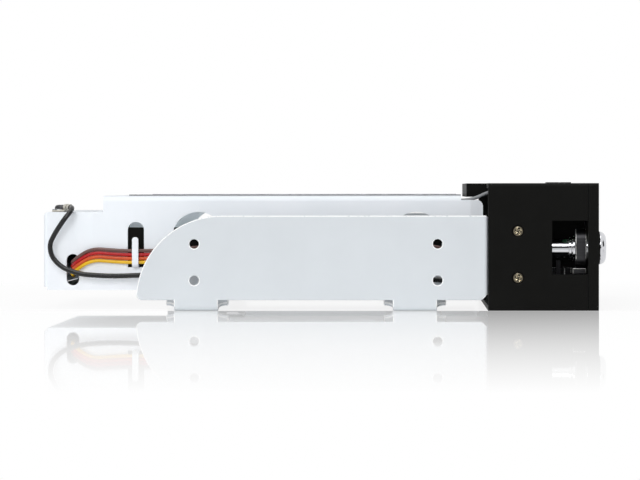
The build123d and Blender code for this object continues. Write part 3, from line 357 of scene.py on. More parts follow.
@dataclass(frozen=True)
class BoardFinish(Finish):
    """Solder mask over copper tracks, with rows of tinned pads."""

    track_pitch: float = 1.6
    track_length: float = 9.0
    track_gap: float = 0.16
    track_colour: Colour = (0.10, 0.36, 0.16)

    def pattern(self, sheet: Sheet, place: Socket, colour: Socket) -> Socket:
        """Lays lighter tracks and pads over the mask.

        Args:
            sheet: The sheet of the material's tree.
            place: The surface point in millimetres.
            colour: The plain colour.

        Returns:
            The colour with its tracks.
        """
        quarter = math.radians(90)
        turn = sheet.add("ShaderNodeMapping", {"Rotation": (quarter, 0, quarter), "Vector": place})
        tracks = sheet.add("ShaderNodeTexBrick", {
            "Vector": turn.outputs["Vector"],
            "Scale": 1.0,
            "Mortar Size": self.track_gap,
            "Brick Width": self.track_length,
            "Row Height": self.track_pitch,
        }, offset=0.37, squash=0.6, squash_frequency=3)
        return sheet.blend(tracks.outputs["Fac"], colour, self.track_colour)


class Finishes:
    """Every finish of the object, by the record's slot name."""

    def __init__(self, effects: Effects) -> None:
        """Builds the materials, one for each slot and a few for small parts."""
        # Painted highlight: the paint's rounded edges that look up or sideways are painted near
        # white.
        coat = dict(grain=Grain.POWDER, grain_scale=1.1, grain_depth=0.004, rough=0.5,
                    rough_span=0.05, specular=0.35, handling=0.25, edge_highlight=3.0,
                    edge_highlight_colour=(254, 255, 255), dust=0.05)
        steel = dict(metal=1.0, grain=Grain.BRUSHED, grain_scale=5.0, grain_depth=0.004,
                     rough=0.3, rough_span=0.14, handling=0.5)
        polish = dict(metal=1.0, grain=Grain.POLISHED)
        # Painted highlight: the black mouldings' rounded edges that look up or sideways are painted
        # a lighter grey.
        mould = dict(grain_scale=2.2, grain_depth=0.002, rough=0.46, rough_span=0.04,
                     specular=0.05, handling=0.1, edge_highlight=0.8, edge_highlight_colour=(50, 51, 52), dust=0.03)
        clear = dict(grain_depth=0.001, handling=0.1)
        sheath = dict(grain=Grain.SHEATH, grain_scale=0.8, grain_depth=0.006, rough=0.26,
                      specular=0.4, handling=0.15)
        finishes = [
            Finish("bracket_paint", (214, 219, 223), (211, 216, 220), **coat),
            # Partly the cage's real bluish white, partly painted light: set lighter to make up for
            # the shade on its recessed walls.
            Finish("cage_paint", (245, 249, 254), (241, 246, 251), **coat),
            Finish("rivet_steel", (196, 198, 202), (176, 178, 182), **steel),
            Finish("zinc_steel", (200, 202, 206), (178, 181, 188), **steel),
            # Painted reflection and glints: the screw heads are painted dark for the dark card they
            # mirror, and bright gold on the recess walls and rim.
            Finish("nickel_screw", (104, 97, 84), (92, 86, 74), 0.2, grain_depth=0.001, edge_highlight=3.0,
                   edge_highlight_colour=(250, 238, 206), **polish),
            Finish("bare_edge", (150, 152, 156), (128, 130, 134), **steel),
            Finish("magnet_nickel", (206, 206, 208), (190, 190, 194), **steel),
            # Painted highlight: the dark steel's rounded edges that look up or sideways are painted
            # near white.
            Finish("dark_steel", (74, 74, 76), (64, 64, 66), 0.42, metal=1.0, grain=Grain.BRUSHED,
                   grain_scale=2.0, grain_depth=0.001, edge_highlight=2.0, edge_highlight_colour=(240, 240, 236)),
            Finish("chrome", (214, 215, 218), (208, 209, 213), 0.12, 0.04, grain_depth=0.0006,
                   **polish),
            Finish("tinned_brass", (206, 204, 196), (176, 172, 160), **steel),
            Finish("black_plastic", (20, 20, 19), (17, 17, 16), **mould),
            Finish("connector_black", (34, 34, 36), (28, 28, 30), **mould),
            Finish("connector_white", (232, 230, 220), (224, 221, 208), **mould),
            Finish("clear_plastic", (232, 240, 240), (224, 236, 236), 0.12, transmission=0.85,
                   **clear),
            Finish("lamp_plastic", (206, 226, 206), (196, 220, 196), 0.25, transmission=0.3,
                   **clear),
            BoardFinish("board_green", (20, 92, 46), (16, 82, 42), 0.3, coat=0.4,
                        grain_depth=0.002),
            Finish("pad_rubber", (44, 44, 44), (36, 36, 36), 0.8, specular=0.25, grain_scale=4.0,
                   grain_depth=0.02),
            Finish("wire_yellow", (236, 190, 38), (228, 178, 32), **sheath),
            Finish("wire_orange", (212, 88, 42), (202, 78, 36), **sheath),
            Finish("wire_red", (186, 18, 26), (174, 15, 23), **sheath),
            Finish("wire_brown", (110, 78, 72), (98, 68, 62), **sheath),
            Finish("wire_grey", (150, 152, 154), (138, 140, 142), **sheath),
            Finish("wire_black", (20, 21, 22), (17, 18, 19), **sheath),
            Finish("gold_contact", (226, 186, 104), (206, 164, 84), 0.22, grain_depth=0.001,
                   **polish),
            Finish("solder", (196, 198, 200), (170, 172, 176), 0.28, grain_depth=0.004, **polish),
            Finish("ceramic", (176, 148, 112), (160, 132, 98), 0.45),
            Finish("chip_epoxy", (36, 36, 38), (30, 30, 32), 0.5, grain_scale=6.0),
            Finish("copper", (214, 140, 104), (190, 116, 84), 0.3, metal=1.0, grain=Grain.BRUSHED,
                   grain_depth=0.004),
        ]
        self.by_name = {finish.name: finish.material(effects) for finish in finishes}
        self.slots = {entry["slot"] for entry in frame["record"]["materials"]}

    def dress(self, piece: Piece, name: str) -> None:
        """Gives a piece one finish."""
        piece.data.materials.clear()
        piece.data.materials.append(self.by_name[name])


def only(piece: Piece) -> None:
    """Deselects everything, then selects this piece and makes it active."""
    bpy.ops.object.select_all(action="DESELECT")
    piece.select_set(True)
    bpy.context.view_layer.objects.active = piece


@contextmanager
def editing(action: str | None = "SELECT") -> Iterator[None]:
    """Opens the active piece's points for editing; the action selects all or none first."""
    bpy.ops.object.mode_set(mode="EDIT")
    bpy.ops.mesh.select_mode(type="VERT")
    if action:
        bpy.ops.mesh.select_all(action=action)
    yield
    bpy.ops.object.mode_set(mode="OBJECT")


def pick(piece: Piece, test: Callable[[Vector], bool]) -> None:
    """Selects the active piece's points that pass the test, and no others."""
    with editing("DESELECT"):
        pass
    for point in piece.data.vertices:
        point.select = test(point.co)


def link(name: str, data: bpy.types.ID) -> Piece:
    """Makes an object of the data and links it to the scene."""
    made = bpy.data.objects.new(name, data)
    bpy.context.scene.collection.objects.link(made)
    return made


def settle(piece: Piece) -> None:
    """Moves the object's place, turn and scale into its mesh."""
    piece.data.transform(piece.matrix_world)
    piece.matrix_world = Matrix.Identity(4)


def turned(degrees: float, axis: str) -> Matrix:
    """Returns the matrix of a turn about an axis."""
    return Matrix.Rotation(math.radians(degrees), 4, axis)


def at(place: Point, turn: Matrix = Matrix.Identity(4)) -> Matrix:
    """Returns the matrix that turns a model and puts it at a place in millimetres."""
    return Matrix.Translation(Vector(place) * MM) @ turn


def smooth(piece: Piece, angle: float = 35.0) -> None:
    """Shades the piece smooth and keeps edges sharper than the angle, in degrees."""
    only(piece)
    bpy.ops.object.shade_smooth_by_angle(angle=math.radians(angle))
    flat = piece.modifiers.new("flat faces", "WEIGHTED_NORMAL")
    flat.weight = 100
    flat.keep_sharp = True
    bpy.ops.object.modifier_apply(modifier=flat.name)


def round_edges(piece: Piece, width: float, segments: int = 2, angle: float = 38.0,
                clamp: bool = True) -> None:
    """Bevels the sharp edges and applies the modifier.

    Args:
        piece: The piece; where it has two material slots, the new faces take the second.
        width: The bevel's width, in millimetres.
        segments: How many faces go across it.
        angle: Edges flatter than this, in degrees, stay.
        clamp: Whether narrow places hold the width back.
    """
    only(piece)
    bevel = piece.modifiers.new("rounded edges", "BEVEL")
    bevel.width = width * MM
    bevel.segments = segments
    bevel.limit_method = "ANGLE"
    bevel.angle_limit = math.radians(angle)
    bevel.use_clamp_overlap = clamp
    bevel.material = len(piece.data.materials) - 1
    bpy.ops.object.modifier_apply(modifier=bevel.name)


def join(pieces: list[Piece], name: str) -> Piece:
    """Joins the pieces into one that bears the name."""
    only(pieces[0])
    for piece in pieces:
        piece.select_set(True)
    if len(pieces) > 1:
        bpy.ops.object.join()
    pieces[0].name = name
    pieces[0].data.name = name
    return pieces[0]


def copies(model: Piece, places: list[Matrix], name: str) -> Piece:
    """Copies a model to each place, each with its own mesh, and joins them."""
    made = []
    for place in places:
        twin = link(name, model.data.copy())
        twin.data.transform(place)
        made.append(twin)
    bpy.data.objects.remove(model)
    return join(made, name)


@dataclass
class Skin:
    """A finer copy of a CAD node: edges rounded, faces smooth, edge mask written."""

    node: str
    slot: str
    edge: float = 0.15
    segments: int = 2
    clamp: bool = True
    flat_angle: float = 0.5
    shortest_edge: float = 0.01
    lowest_facing: float = -0.2

    def build(self, finishes: Finishes) -> Piece:
        """Builds the copy that stands for the node.

        Args:
            finishes: The object's finishes.

        Returns:
            The new piece.
        """
        source = frame["nodes"][self.node]
        piece = link(f"{self.node}_skin", source.data.copy())
        only(piece)
        with editing():
            bpy.ops.mesh.remove_doubles(threshold=MERGE)
            if self.edge > 0:
                bpy.ops.mesh.dissolve_limited(angle_limit=math.radians(self.flat_angle))
                bpy.ops.mesh.dissolve_degenerate(threshold=self.shortest_edge * MM)
        piece.data.materials.clear()
        for _ in range(2):
            piece.data.materials.append(None)
        piece.data.polygons.foreach_set("material_index", [0] * len(piece.data.polygons))
        if self.edge > 0:
            round_edges(piece, self.edge, self.segments, clamp=self.clamp)
        self.mark_edges(piece)
        smooth(piece)
        finishes.dress(piece, self.slot)
        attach(piece, source["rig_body"])
        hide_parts(self.node)
        return piece

    def mark_edges(self, piece: Piece) -> None:
        """Writes 1 on the bevel's faces that look up or sideways, where the finish paints its edge
        highlight, and 0 on the rest.
        """
        mesh = piece.data
        values = [float(face.material_index and face.normal.z > self.lowest_facing)
                  for face in mesh.polygons]
        mask = mesh.attributes.new("edge", "FLOAT", "FACE")
        mask.data.foreach_set("value", values)
        mesh.polygons.foreach_set("material_index", [0] * len(values))


SKINS = (
    Skin("left_side_bracket", "bracket_paint", 0.35, 3, clamp=False),
    Skin("right_side_bracket", "bracket_paint", 0.35, 3, clamp=False),
    Skin("cage_body", "cage_paint", 0.25, 3),
    Skin("cage_floor", "cage_paint", 0.12),
    Skin("rear_cover", "cage_paint", 0.14),
    *(Skin(f"{side}_guide_rail", "black_plastic", 0.2) for side in ("left", "right")),
    Skin("front_housing", "black_plastic", 0.2),
    Skin("drive_door", "black_plastic", 0.2),
    Skin("lock_cam", "dark_steel", 0.25, 3),
    Skin("lock_rings", "chrome", 0.2, 3),
    Skin("lock_strike", "dark_steel", 0.15),
    Skin("key_switch", "connector_black", 0.15),
    Skin("ejector_crank", "black_plastic", 0.15),
    Skin("ejector_slide", "zinc_steel", 0.12),
    Skin("ejector_pad", "pad_rubber", 0.1),
    Skin("drive_connector", "connector_black", 0.1),
    Skin("power_port", "connector_white", 0.12),
    Skin("data_port", "connector_black", 0.1),
    Skin("backplane_board", "board_green", 0.06),
    Skin("led_board", "board_green", 0.06),
    Skin("lock_ferrule", "chrome", 0.0),
    Skin("lock_plug", "chrome", 0.0),
    Skin("light_pipes", "clear_plastic", 0.1),
    Skin("status_leds", "lamp_plastic", 0.0),
    *(Skin(node, "zinc_steel", 0.1) for node in ("hinge_pins", "board_standoffs", "ejector_studs")),
    Skin("catch_plate", "zinc_steel", 0.08),
    Skin("catch_magnet", "magnet_nickel", 0.12),
    *(Skin(f"ribbon_{tone}", f"wire_{tone}", 0.0) for tone in ("yellow", "orange", "red", "brown")),
    Skin("ground_wire", "wire_black", 0.0),
    Skin("led_lead_grey", "wire_grey", 0.0),
    Skin("led_lead_black", "wire_black", 0.0),
)


def plane(name: str, side: float, place: Point, turn: Point = (0, 0, 0)) -> Piece:
    """Adds a square; its side and its place are in metres, its turn in radians."""
    bpy.ops.object.select_all(action="DESELECT")
    bpy.ops.mesh.primitive_plane_add(size=side, location=place, rotation=turn)
    bpy.context.object.name = name
    return bpy.context.object


def seed(name: str, place: Point) -> Piece:
    """Makes a piece that is one point, for its profile to grow from; in millimetres."""
    piece = plane(name, MM, [value * MM for value in place])
    with editing():
        bpy.ops.mesh.merge(type="CENTER")
    return piece


def spin(steps: int, angle: float, centre: Point, axis: Point) -> None:
    """Spins the whole open profile and closes what meets; used in edit mode."""
    bpy.ops.mesh.select_all(action="SELECT")
    bpy.ops.mesh.spin(steps=steps, angle=angle, center=centre, axis=axis)
    bpy.ops.mesh.select_all(action="SELECT")
    bpy.ops.mesh.remove_doubles(threshold=MERGE)


def lathe(name: str, profile: list[tuple[float, float]], steps: int = 36) -> Piece:
    """Spins a profile round the Z axis.

    Args:
        name: The piece's name.
        profile: Points of radius and height, in millimetres.
        steps: How many facets go round.

    Returns:
        The closed piece, at the origin.
    """
    piece = seed(name, (profile[0][0], 0, profile[0][1]))
    with editing():
        for (radius, height), (next_radius, next_height) in zip(profile, profile[1:]):
            step = ((next_radius - radius) * MM, 0, (next_height - height) * MM)
            bpy.ops.mesh.extrude_vertices_move(TRANSFORM_OT_translate={"value": step})
        spin(steps, math.tau, (0, 0, 0), (0, 0, 1))
        bpy.ops.mesh.normals_make_consistent(inside=False)
    settle(piece)
    return piece


def slab(name: str, size: Point, centre: Point, edge: float = 0.0) -> Piece:
    """Makes a block with rounded edges; sizes in millimetres."""
    bpy.ops.object.select_all(action="DESELECT")
    bpy.ops.mesh.primitive_cube_add(size=1, location=Vector(centre) * MM,
                                    scale=Vector(size) * MM)
    piece = bpy.context.object
    piece.name = name
    settle(piece)
    if edge > 0:
        with editing():
            bpy.ops.mesh.bevel(offset=edge * MM, segments=2, affect="EDGES")
    return piece


def carve(piece: Piece, cutter: Piece) -> None:
    """Takes the cutter's shape out of the piece and removes the cutter."""
    only(piece)
    cut = piece.modifiers.new("carved", "BOOLEAN")
    cut.operation = "DIFFERENCE"
    cut.solver = "EXACT"
    cut.object = cutter
    bpy.ops.object.modifier_apply(modifier=cut.name)
    bpy.data.objects.remove(cutter)


def carve_cross(screw: Piece, size: Point, height: float, first: float) -> None:
    """Carves a cross recess into an upright screw, its slots' middle at the height."""
    for turn in (first, first + 90):
        cutter = slab("recess", size, (0, 0, height), 0.08)
        cutter.data.transform(turned(turn, "Z"))
        carve(screw, cutter)


def mark(piece: Piece, test: Test) -> None:
    """Writes the edge mask: 1 on the faces whose centre and normal pass the test, else 0."""
    if "edge" not in piece.data.attributes:
        piece.data.attributes.new("edge", "FLOAT", "FACE")
    values = [float(test(face.center, face.normal)) for face in piece.data.polygons]
    piece.data.attributes["edge"].data.foreach_set("value", values)


def fit(piece: Piece, finishes: Finishes, finish: str, body: str, *nodes: str) -> Piece:
    """Dresses a new piece, puts it on its body and hides the nodes that it stands for.

    Args:
        piece: The new piece.
        finishes: The object's finishes.
        finish: The finish's name.
        body: The CAD body that it rides on.
        nodes: CAD nodes that it replaces.

    Returns:
        The piece.
    """
    if "edge" not in piece.data.attributes:
        mark(piece, lambda centre, normal: False)
    smooth(piece)
    finishes.dress(piece, finish)
    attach(piece, body)
    if nodes:
        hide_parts(*nodes)
    return piece


@dataclass
class CrossScrews:
    """The housing's four countersunk screws, with their cross recesses."""

    place_radius: float = 2.15
    head_radius: float = 1.72
    sunk: float = 0.42
    shank_radius: float = 1.2
    length: float = 5.4
    recess_length: float = 2.3
    recess_width: float = 0.55
    recess_depth: float = 0.7
    recess_turn: float = 28.0

    def model(self) -> Piece:
        """Models one screw, its domed head's top under the origin and its shank down -Z."""
        rim, low = self.head_radius, -self.sunk
        screw = lathe("screw", [
            (0, -0.04), (0.3 * rim, -0.05), (0.6 * rim, -0.1), (0.84 * rim, -0.18),
            (0.94 * rim, -0.28), (rim, low), (0.97 * rim, low - 0.1),
            (self.shank_radius, low - 0.75), (self.shank_radius, -self.length + 0.3),
            (0.7 * self.shank_radius, -self.length), (0, -self.length)], 48)
        size = (self.recess_length, self.recess_width, 2 * self.recess_depth)
        carve_cross(screw, size, 0, self.recess_turn)
        reach = 0.5 * self.recess_length * MM
        # Painted glints: the recess walls and a thin ring by the rim take the edge mask, which the
        # screw finish paints bright gold.
        mark(screw, lambda centre, normal: abs(normal.z) < 0.97 and centre.z > -2 * MM
             and (centre.xy.length < 1.05 * reach or abs(centre.xy.length - 0.97 * rim * MM)
                  < 0.05 * rim * MM and centre.z > -0.3 * MM))
        return screw

    def build(self, finishes: Finishes) -> None:
        """Copies the screw to its four places and fits them."""
        low, high = (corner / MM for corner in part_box("housing_screws"))
        rows = (low.z + self.place_radius, high.z - self.place_radius)
        places = [at(((low.x + high.x) / 2, outer, z), turned(turn, "X"))
                  for outer, turn in ((low.y, 90), (high.y, -90)) for z in rows]
        screws = copies(self.model(), places, "housing_cross_screws")
        fit(screws, finishes, "nickel_screw", "cage", "housing_screws")


@dataclass
class LidShadowStrip:
    """A darker bare-steel strip on the bend along each side of the lid: a painted shadow line at
    the lid's edge.
    """

    inset: float = 2.6
    width: float = 1.4
    height: float = 0.4
    front: float = 45.6
    rear: float = -64.3

    def build(self, finishes: Finishes) -> None:
        """Lays one darker strip, the painted shadow line, along each long edge of the lid."""
        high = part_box("cage_body")[1] / MM
        shadow_strip = slab("shadow_strip", (self.front - self.rear, self.width, 2 * self.height),
                   ((self.front + self.rear) / 2, 0, high.z), 0.1)
        places = [at((0, side * (high.y - self.inset), 0)) for side in (-1, 1)]
        fit(copies(shadow_strip, places, "lid_shadow_strips"), finishes, "bare_edge", "cage")


@dataclass
class BlindRivets:
    """The eight blind rivets of the bracket flanges."""

    head_radius: float = 2.6
    head_height: float = 0.7
    shank_radius: float = 1.55
    bore_radius: float = 0.95
    pitch: float = 12.0

    def model(self, low: float, high: float) -> Piece:
        """Models one rivet with its drawn-in mandrel; the heights are in millimetres."""
        head, shank, bore = self.head_radius, self.shank_radius, self.bore_radius
        foot, neck = low + self.head_height, high - self.head_height
        return lathe("rivet", [
            (0, low + 0.1), (1.1, low), (1.7, low + 0.1), (2.2, low + 0.4), (2.3, foot),
            (shank, foot), (shank, neck), (head, neck), (head, high - 0.55),
            (0.93 * head, high - 0.3), (0.75 * head, high - 0.1), (0.5 * head, high),
            (bore + 0.08, high - 0.02), (bore, high - 0.12), (bore, high - 0.55),
            (0.6, high - 0.5), (0.45, high - 0.36), (0, high - 0.3)], 32)

    def build(self, finishes: Finishes) -> None:
        """Copies the rivet to its eight places and fits them."""
        low, high = (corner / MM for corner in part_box("bracket_rivets"))
        first, last = low.x + self.head_radius, high.x - self.head_radius
        across = high.y - self.head_radius
        places = [at((x, side * across, 0)) for side in (-1, 1)
                  for x in (first, first + self.pitch, last - self.pitch, last)]
        rivets = copies(self.model(low.z, high.z), places, "flange_blind_rivets")
        fit(rivets, finishes, "rivet_steel", "cage", "bracket_rivets")


@dataclass(frozen=True)
class Crimp:
    """A pair of crimp ears: start, length and inner radius in millimetres, gap in degrees."""

    name: str
    start: float
    length: float
    radius: float
    gap: float


@dataclass
class GroundTerminal:
    """The crimped ring terminal, its toothed washer, its screw and the bare strands."""

    ring_radius: float = 3.1
    hole_radius: float = 1.65
    sheet: float = 0.7
    axis_height: float = 1.55
    barrel: Crimp = Crimp("barrel", 3.8, 2.1, 1.0, 26)
    grip: Crimp = Crimp("grip", 6.35, 1.5, 0.9, 64)
    wall: float = 0.3
    direction: float = -61.13
    washer_height: float = 0.3
    washer_teeth: int = 10
    tooth_lean: float = 24.0
    strand_radius: float = 0.21
    strand_ring: float = 0.44
    strand_length: float = 2.6
    recess_turn: float = 20.0

    def ear_pair(self, crimp: Crimp) -> Piece:
        """Bends a pair of crimp ears round the wire and gives them their wall."""
        piece = seed(crimp.name, (crimp.start, 0, 0))
        lean = math.radians(crimp.gap / 2)
        with editing():
            bpy.ops.transform.translate(value=(0, crimp.radius * math.sin(lean) * MM,
                                               crimp.radius * math.cos(lean) * MM))
            for _ in range(4):
                bpy.ops.mesh.extrude_vertices_move(
                    TRANSFORM_OT_translate={"value": (crimp.length * MM / 4, 0, 0)})
            spin(22, -(math.tau - 2 * lean), (crimp.start * MM, 0, 0), (1, 0, 0))
        settle(piece)
        wall = piece.modifiers.new("wall", "SOLIDIFY")
        wall.thickness = self.wall * MM
        wall.offset = 0.0
        only(piece)
        bpy.ops.object.modifier_apply(modifier=wall.name)
        with editing():
            bpy.ops.mesh.normals_make_consistent(inside=False)
        round_edges(piece, 0.06, 2, 50)
        piece.data.transform(Matrix.Translation((0, 0, self.axis_height * MM)))
        return piece

    def tongue(self) -> Piece:
        """Models the stepped neck between the ring and the crimp."""
        neck = slab("neck", (2.6, 2.4, 0.6), (3.7, 0, 0.35))
        with editing():
            bpy.ops.mesh.subdivide(number_cuts=3)
        pick(neck, lambda place: place.x > 3.9 * MM)
        with editing(None):
            bpy.ops.transform.translate(value=(0, 0, 0.12 * MM))
            bpy.ops.transform.resize(value=(1, 0.8, 1))
        round_edges(neck, 0.1)
        return neck

    def ring(self) -> Piece:
        """Models the flat eye."""
        hole, rim, top = self.hole_radius, self.ring_radius, self.sheet
        return lathe("eye", [
            (hole, 0.1), (hole + 0.1, 0.02), (rim - 0.12, 0.02), (rim, 0.14), (rim, top - 0.14),
            (rim - 0.12, top), (hole + 0.1, top), (hole, top - 0.1), (hole, 0.1)], 48)

    def washer(self) -> Piece:
        """Models the toothed washer that lies on the eye."""
        low, high = self.sheet, self.sheet + self.washer_height
        band = lathe("washer", [(1.7, low), (2.35, low), (2.35, high), (1.7, high), (1.7, low)], 40)
        tooth = slab("tooth", (0.7, 0.55, 0.22), (2.62, 0, 0))
        tooth.data.transform(turned(self.tooth_lean, "X"))
        tooth.data.transform(Matrix.Translation((0, 0, (low + 0.16) * MM)))
        turns = [Matrix.Rotation(math.tau * index / self.washer_teeth, 4, "Z")
                 for index in range(self.washer_teeth)]
        return join([band, copies(tooth, turns, "teeth")], "terminal_star_washer")

    def strands(self) -> Piece:
        """Models the bare copper ends that look out of the crimp."""
        radius, length = self.strand_radius, self.strand_length
        strand = lathe("strand", [(0, 0), (0.8 * radius, 0.03), (radius, 0.1), (radius, length),
                                  (0, length)], 12)
        strand.data.transform(turned(90, "Y"))
        places = []
        for index in range(7):
            ring = 0.0 if index == 6 else self.strand_ring
            turn = math.tau * index / 6
            start = self.barrel.start - 0.9 + 0.22 * math.sin(1.7 * index)
            places.append(at((start, ring * math.cos(turn),
                              self.axis_height + ring * math.sin(turn)),
                             turned(4 * math.sin(2.1 * index), "Y")))
        return copies(strand, places, "ground_wire_strands")

    def screw(self, high: float, low: float) -> Piece:
        """Models the pan head screw, its top at the height `high` over the eye's foot."""
        under = self.sheet + self.washer_height
        screw = lathe("terminal_pan_screw", [
            (0, high), (0.8, high - 0.02), (1.5, high - 0.12), (1.95, high - 0.4),
            (2.15, high - 0.8), (2.2, under + 0.1), (2.1, under), (1.5, under), (1.5, low + 0.3),
            (1.1, low), (0, low)], 40)
        carve_cross(screw, (2.5, 0.6, 1.5), high, self.recess_turn)
        return screw

    def build(self, finishes: Finishes) -> None:
        """Builds the pieces round the screw's place and fits them."""
        low, high = (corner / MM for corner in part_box("terminal_screw"))
        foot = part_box("ring_terminal")[0].z / MM
        centre = at(((low.x + high.x) / 2, (low.y + high.y) / 2, foot),
                    turned(self.direction, "Z"))
        crimp = join([self.ring(), self.tongue(), self.ear_pair(self.barrel),
                      self.ear_pair(self.grip)], "crimped_ring_terminal")
        made = ((crimp, "tinned_brass", ("ring_terminal",)),
                (self.washer(), "zinc_steel", ()),
                (self.strands(), "copper", ()),
                # Painted dark reflection: the zinc-plated screw takes the dark steel finish for the
                # dark surroundings it mirrors.
                (self.screw(high.z - foot, low.z - foot), "dark_steel", ("terminal_screw",)))
        for piece, finish, nodes in made:
            piece.data.transform(centre)
            fit(piece, finishes, finish, "cage", *nodes)


@dataclass
class BoardParts:
    """The parts soldered to the backplane and to the signal board, and the contacts."""

    chip_size: Point = (1.5, 6.0, 4.0)
    chip_spots: tuple[tuple[float, float], ...] = ((27.0, 22.5), (17.0, 13.5))
    leg_pitch: float = 1.27
    joint_pitch: float = 1.6
    joint_count: int = 27
    joint_height: float = 13.0
    contact_pitch: float = 1.27
    contact_count: int = 28
    port_middle: float = -16.0
    pin_radius: float = 1.09
    pin_length: float = 7.6
    pin_pitch: float = 5.08
    pin_middle: float = 14.0
    pin_height: float = 18.0
    resistor_shift: float = 1.3
    resistor_drop: float = 4.0

    def lay(self, finishes: Finishes, finish: str, model: Piece, places: list[Point],
            name: str) -> None:
        """Copies a model to its places on the boards and fits the copies."""
        fit(copies(model, [at(place) for place in places], name), finishes, finish, "cage")

    def chip(self) -> tuple[Piece, Piece]:
        """Models one flat chip and its legs, standing on the plane x = 0."""
        depth, width, height = self.chip_size
        body = slab("chip", self.chip_size, (depth / 2 + 0.15, 0, 0), 0.12)
        dot = slab("dot", (0.4, 0.7, 0.7), (depth + 0.2, 0.35 * width, 0.3 * height), 0.15)
        carve(body, dot)
        leg = slab("leg", (0.25, 0.4, 1.1), (0.13, 0, 0))
        pick(leg, lambda place: place.z < 0)
        with editing(None):
            bpy.ops.mesh.extrude_region_move(
                TRANSFORM_OT_translate={"value": (0.6 * MM, 0, 0.3 * MM)})
        places = []
        for index in range(4):
            y = (index - 1.5) * self.leg_pitch
            places.append(at((0, y, height / 2 + 0.6)))
            places.append(at((0, y, -height / 2 - 0.6), turned(180, "X")))
        return body, copies(leg, places, "legs")

    def backplane(self, finishes: Finishes) -> None:
        """Solders the chips, the capacitors and the joints to the backplane."""
        back, face = (corner.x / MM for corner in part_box("backplane_board"))
        spots = [(face, *spot) for spot in self.chip_spots]
        body, legs = self.chip()
        self.lay(finishes, "chip_epoxy", body, spots, "backplane_chips")
        self.lay(finishes, "solder", legs, spots, "backplane_chip_legs")
        block = slab("capacitor", (0.8, 1.1, 0.8), (0.45, 0, 0), 0.08)
        ends = join([slab("end", (0.86, 0.35, 0.86), (0.45, side * 0.72, 0), 0.1)
                     for side in (-1, 1)], "ends")
        spots = [(face, 11.0 + 3.4 * index, 27.0 - 1.2 * (index % 3)) for index in range(9)]
        spots += [(face, 25.0 + 3.0 * index, 11.5) for index in range(5)]
        self.lay(finishes, "ceramic", block, spots, "backplane_capacitors")
        self.lay(finishes, "solder", ends, spots, "backplane_capacitor_ends")
        drop = lathe("joint", [(0, 0.75), (0.2, 0.72), (0.3, 0.5), (0.45, 0.25), (0.75, 0.08),
                               (0.85, -0.05), (0, -0.05)], 14)
        drop.data.transform(turned(-90, "Y"))
        spots = [(back, self.port_middle + self.joint_pitch * (index - self.joint_count // 2),
                  self.joint_height + self.joint_pitch * (index % 2))
                 for index in range(self.joint_count)]
        self.lay(finishes, "solder", drop, spots, "backplane_solder_joints")

    def contacts(self, finishes: Finishes) -> None:
        """Lays the gold contacts on the drive connector's tongue."""
        low, high = (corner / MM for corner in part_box("drive_connector"))
        middle = (low.z + high.z) / 2
        strip = slab("contact", (3.0, 0.62, 0.14), (0, 0, 0), 0.05)
        spots = [(high.x - 2.9, self.port_middle + (index - (self.contact_count - 1) / 2)
                  * self.contact_pitch, middle + 0.62) for index in range(self.contact_count)]
        self.lay(finishes, "gold_contact", strip, spots, "drive_connector_contacts")

    def power_pins(self, finishes: Finishes) -> None:
        """Sleeves the four power pins with tinned metal."""
        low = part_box("power_port")[0].x / MM
        radius, length = self.pin_radius, self.pin_length
        pin = lathe("pin", [(0, 0), (0.35, 0.02), (0.75, 0.2), (radius, 0.6), (radius, length),
                            (0, length)], 24)
        pin.data.transform(turned(90, "Y"))
        spots = [(low + 0.75, self.pin_middle + (index - 1.5) * self.pin_pitch, self.pin_height)
                 for index in range(4)]
        self.lay(finishes, "tinned_brass", pin, spots, "power_port_pins")

    def signal_board(self, finishes: Finishes) -> None:
        """Puts two resistors on the signal board's front."""
        low, high = (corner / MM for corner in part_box("led_board"))
        middle = (low.y + high.y) / 2
        chip = slab("resistor", (0.55, 1.0, 1.6), (0.28, 0, 0), 0.08)
        spots = [(high.x, middle + shift, high.z - self.resistor_drop)
                 for shift in (-self.resistor_shift, self.resistor_shift)]
        self.lay(finishes, "chip_epoxy", chip, spots, "signal_board_resistors")

    def build(self, finishes: Finishes) -> None:
        """Builds every small part of the boards."""
        self.backplane(finishes)
        self.contacts(finishes)
        self.power_pins(finishes)
        self.signal_board(finishes)


@dataclass
class LockDetail:
    """The keyway's wards and the spring shutter behind the key slot."""

    slot_width: float = 0.9
    slot_length: float = 4.2
    depth: float = 0.5
    sunk: float = 0.9
    ward_shifts: Point = (0.9, -0.5, -1.4)

    def build(self, finishes: Finishes) -> None:
        """Models the shutter with its ward ribs and fits it in the plug."""
        low, high = (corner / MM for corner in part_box("lock_plug"))
        x, y, z = high.x - self.sunk, (low.y + high.y) / 2, (low.z + high.z) / 2
        pieces = [slab("shutter", (self.depth, self.slot_width, self.slot_length), (x, y, z), 0.05)]
        for side, shift in zip((-1, 1, -1), self.ward_shifts):
            pieces.append(slab("ward", (self.depth, 0.35, 0.5),
                               (x + 0.3, y + side * 0.33, z + shift), 0.06))
        fit(join(pieces, "keyway_shutter"), finishes, "dark_steel", "lock_core")


def hide(piece: Piece, *rays: str) -> None:
    """Keeps a piece or a lamp from these kinds of rays."""
    for ray in rays:
        setattr(piece, f"visible_{ray}", False)


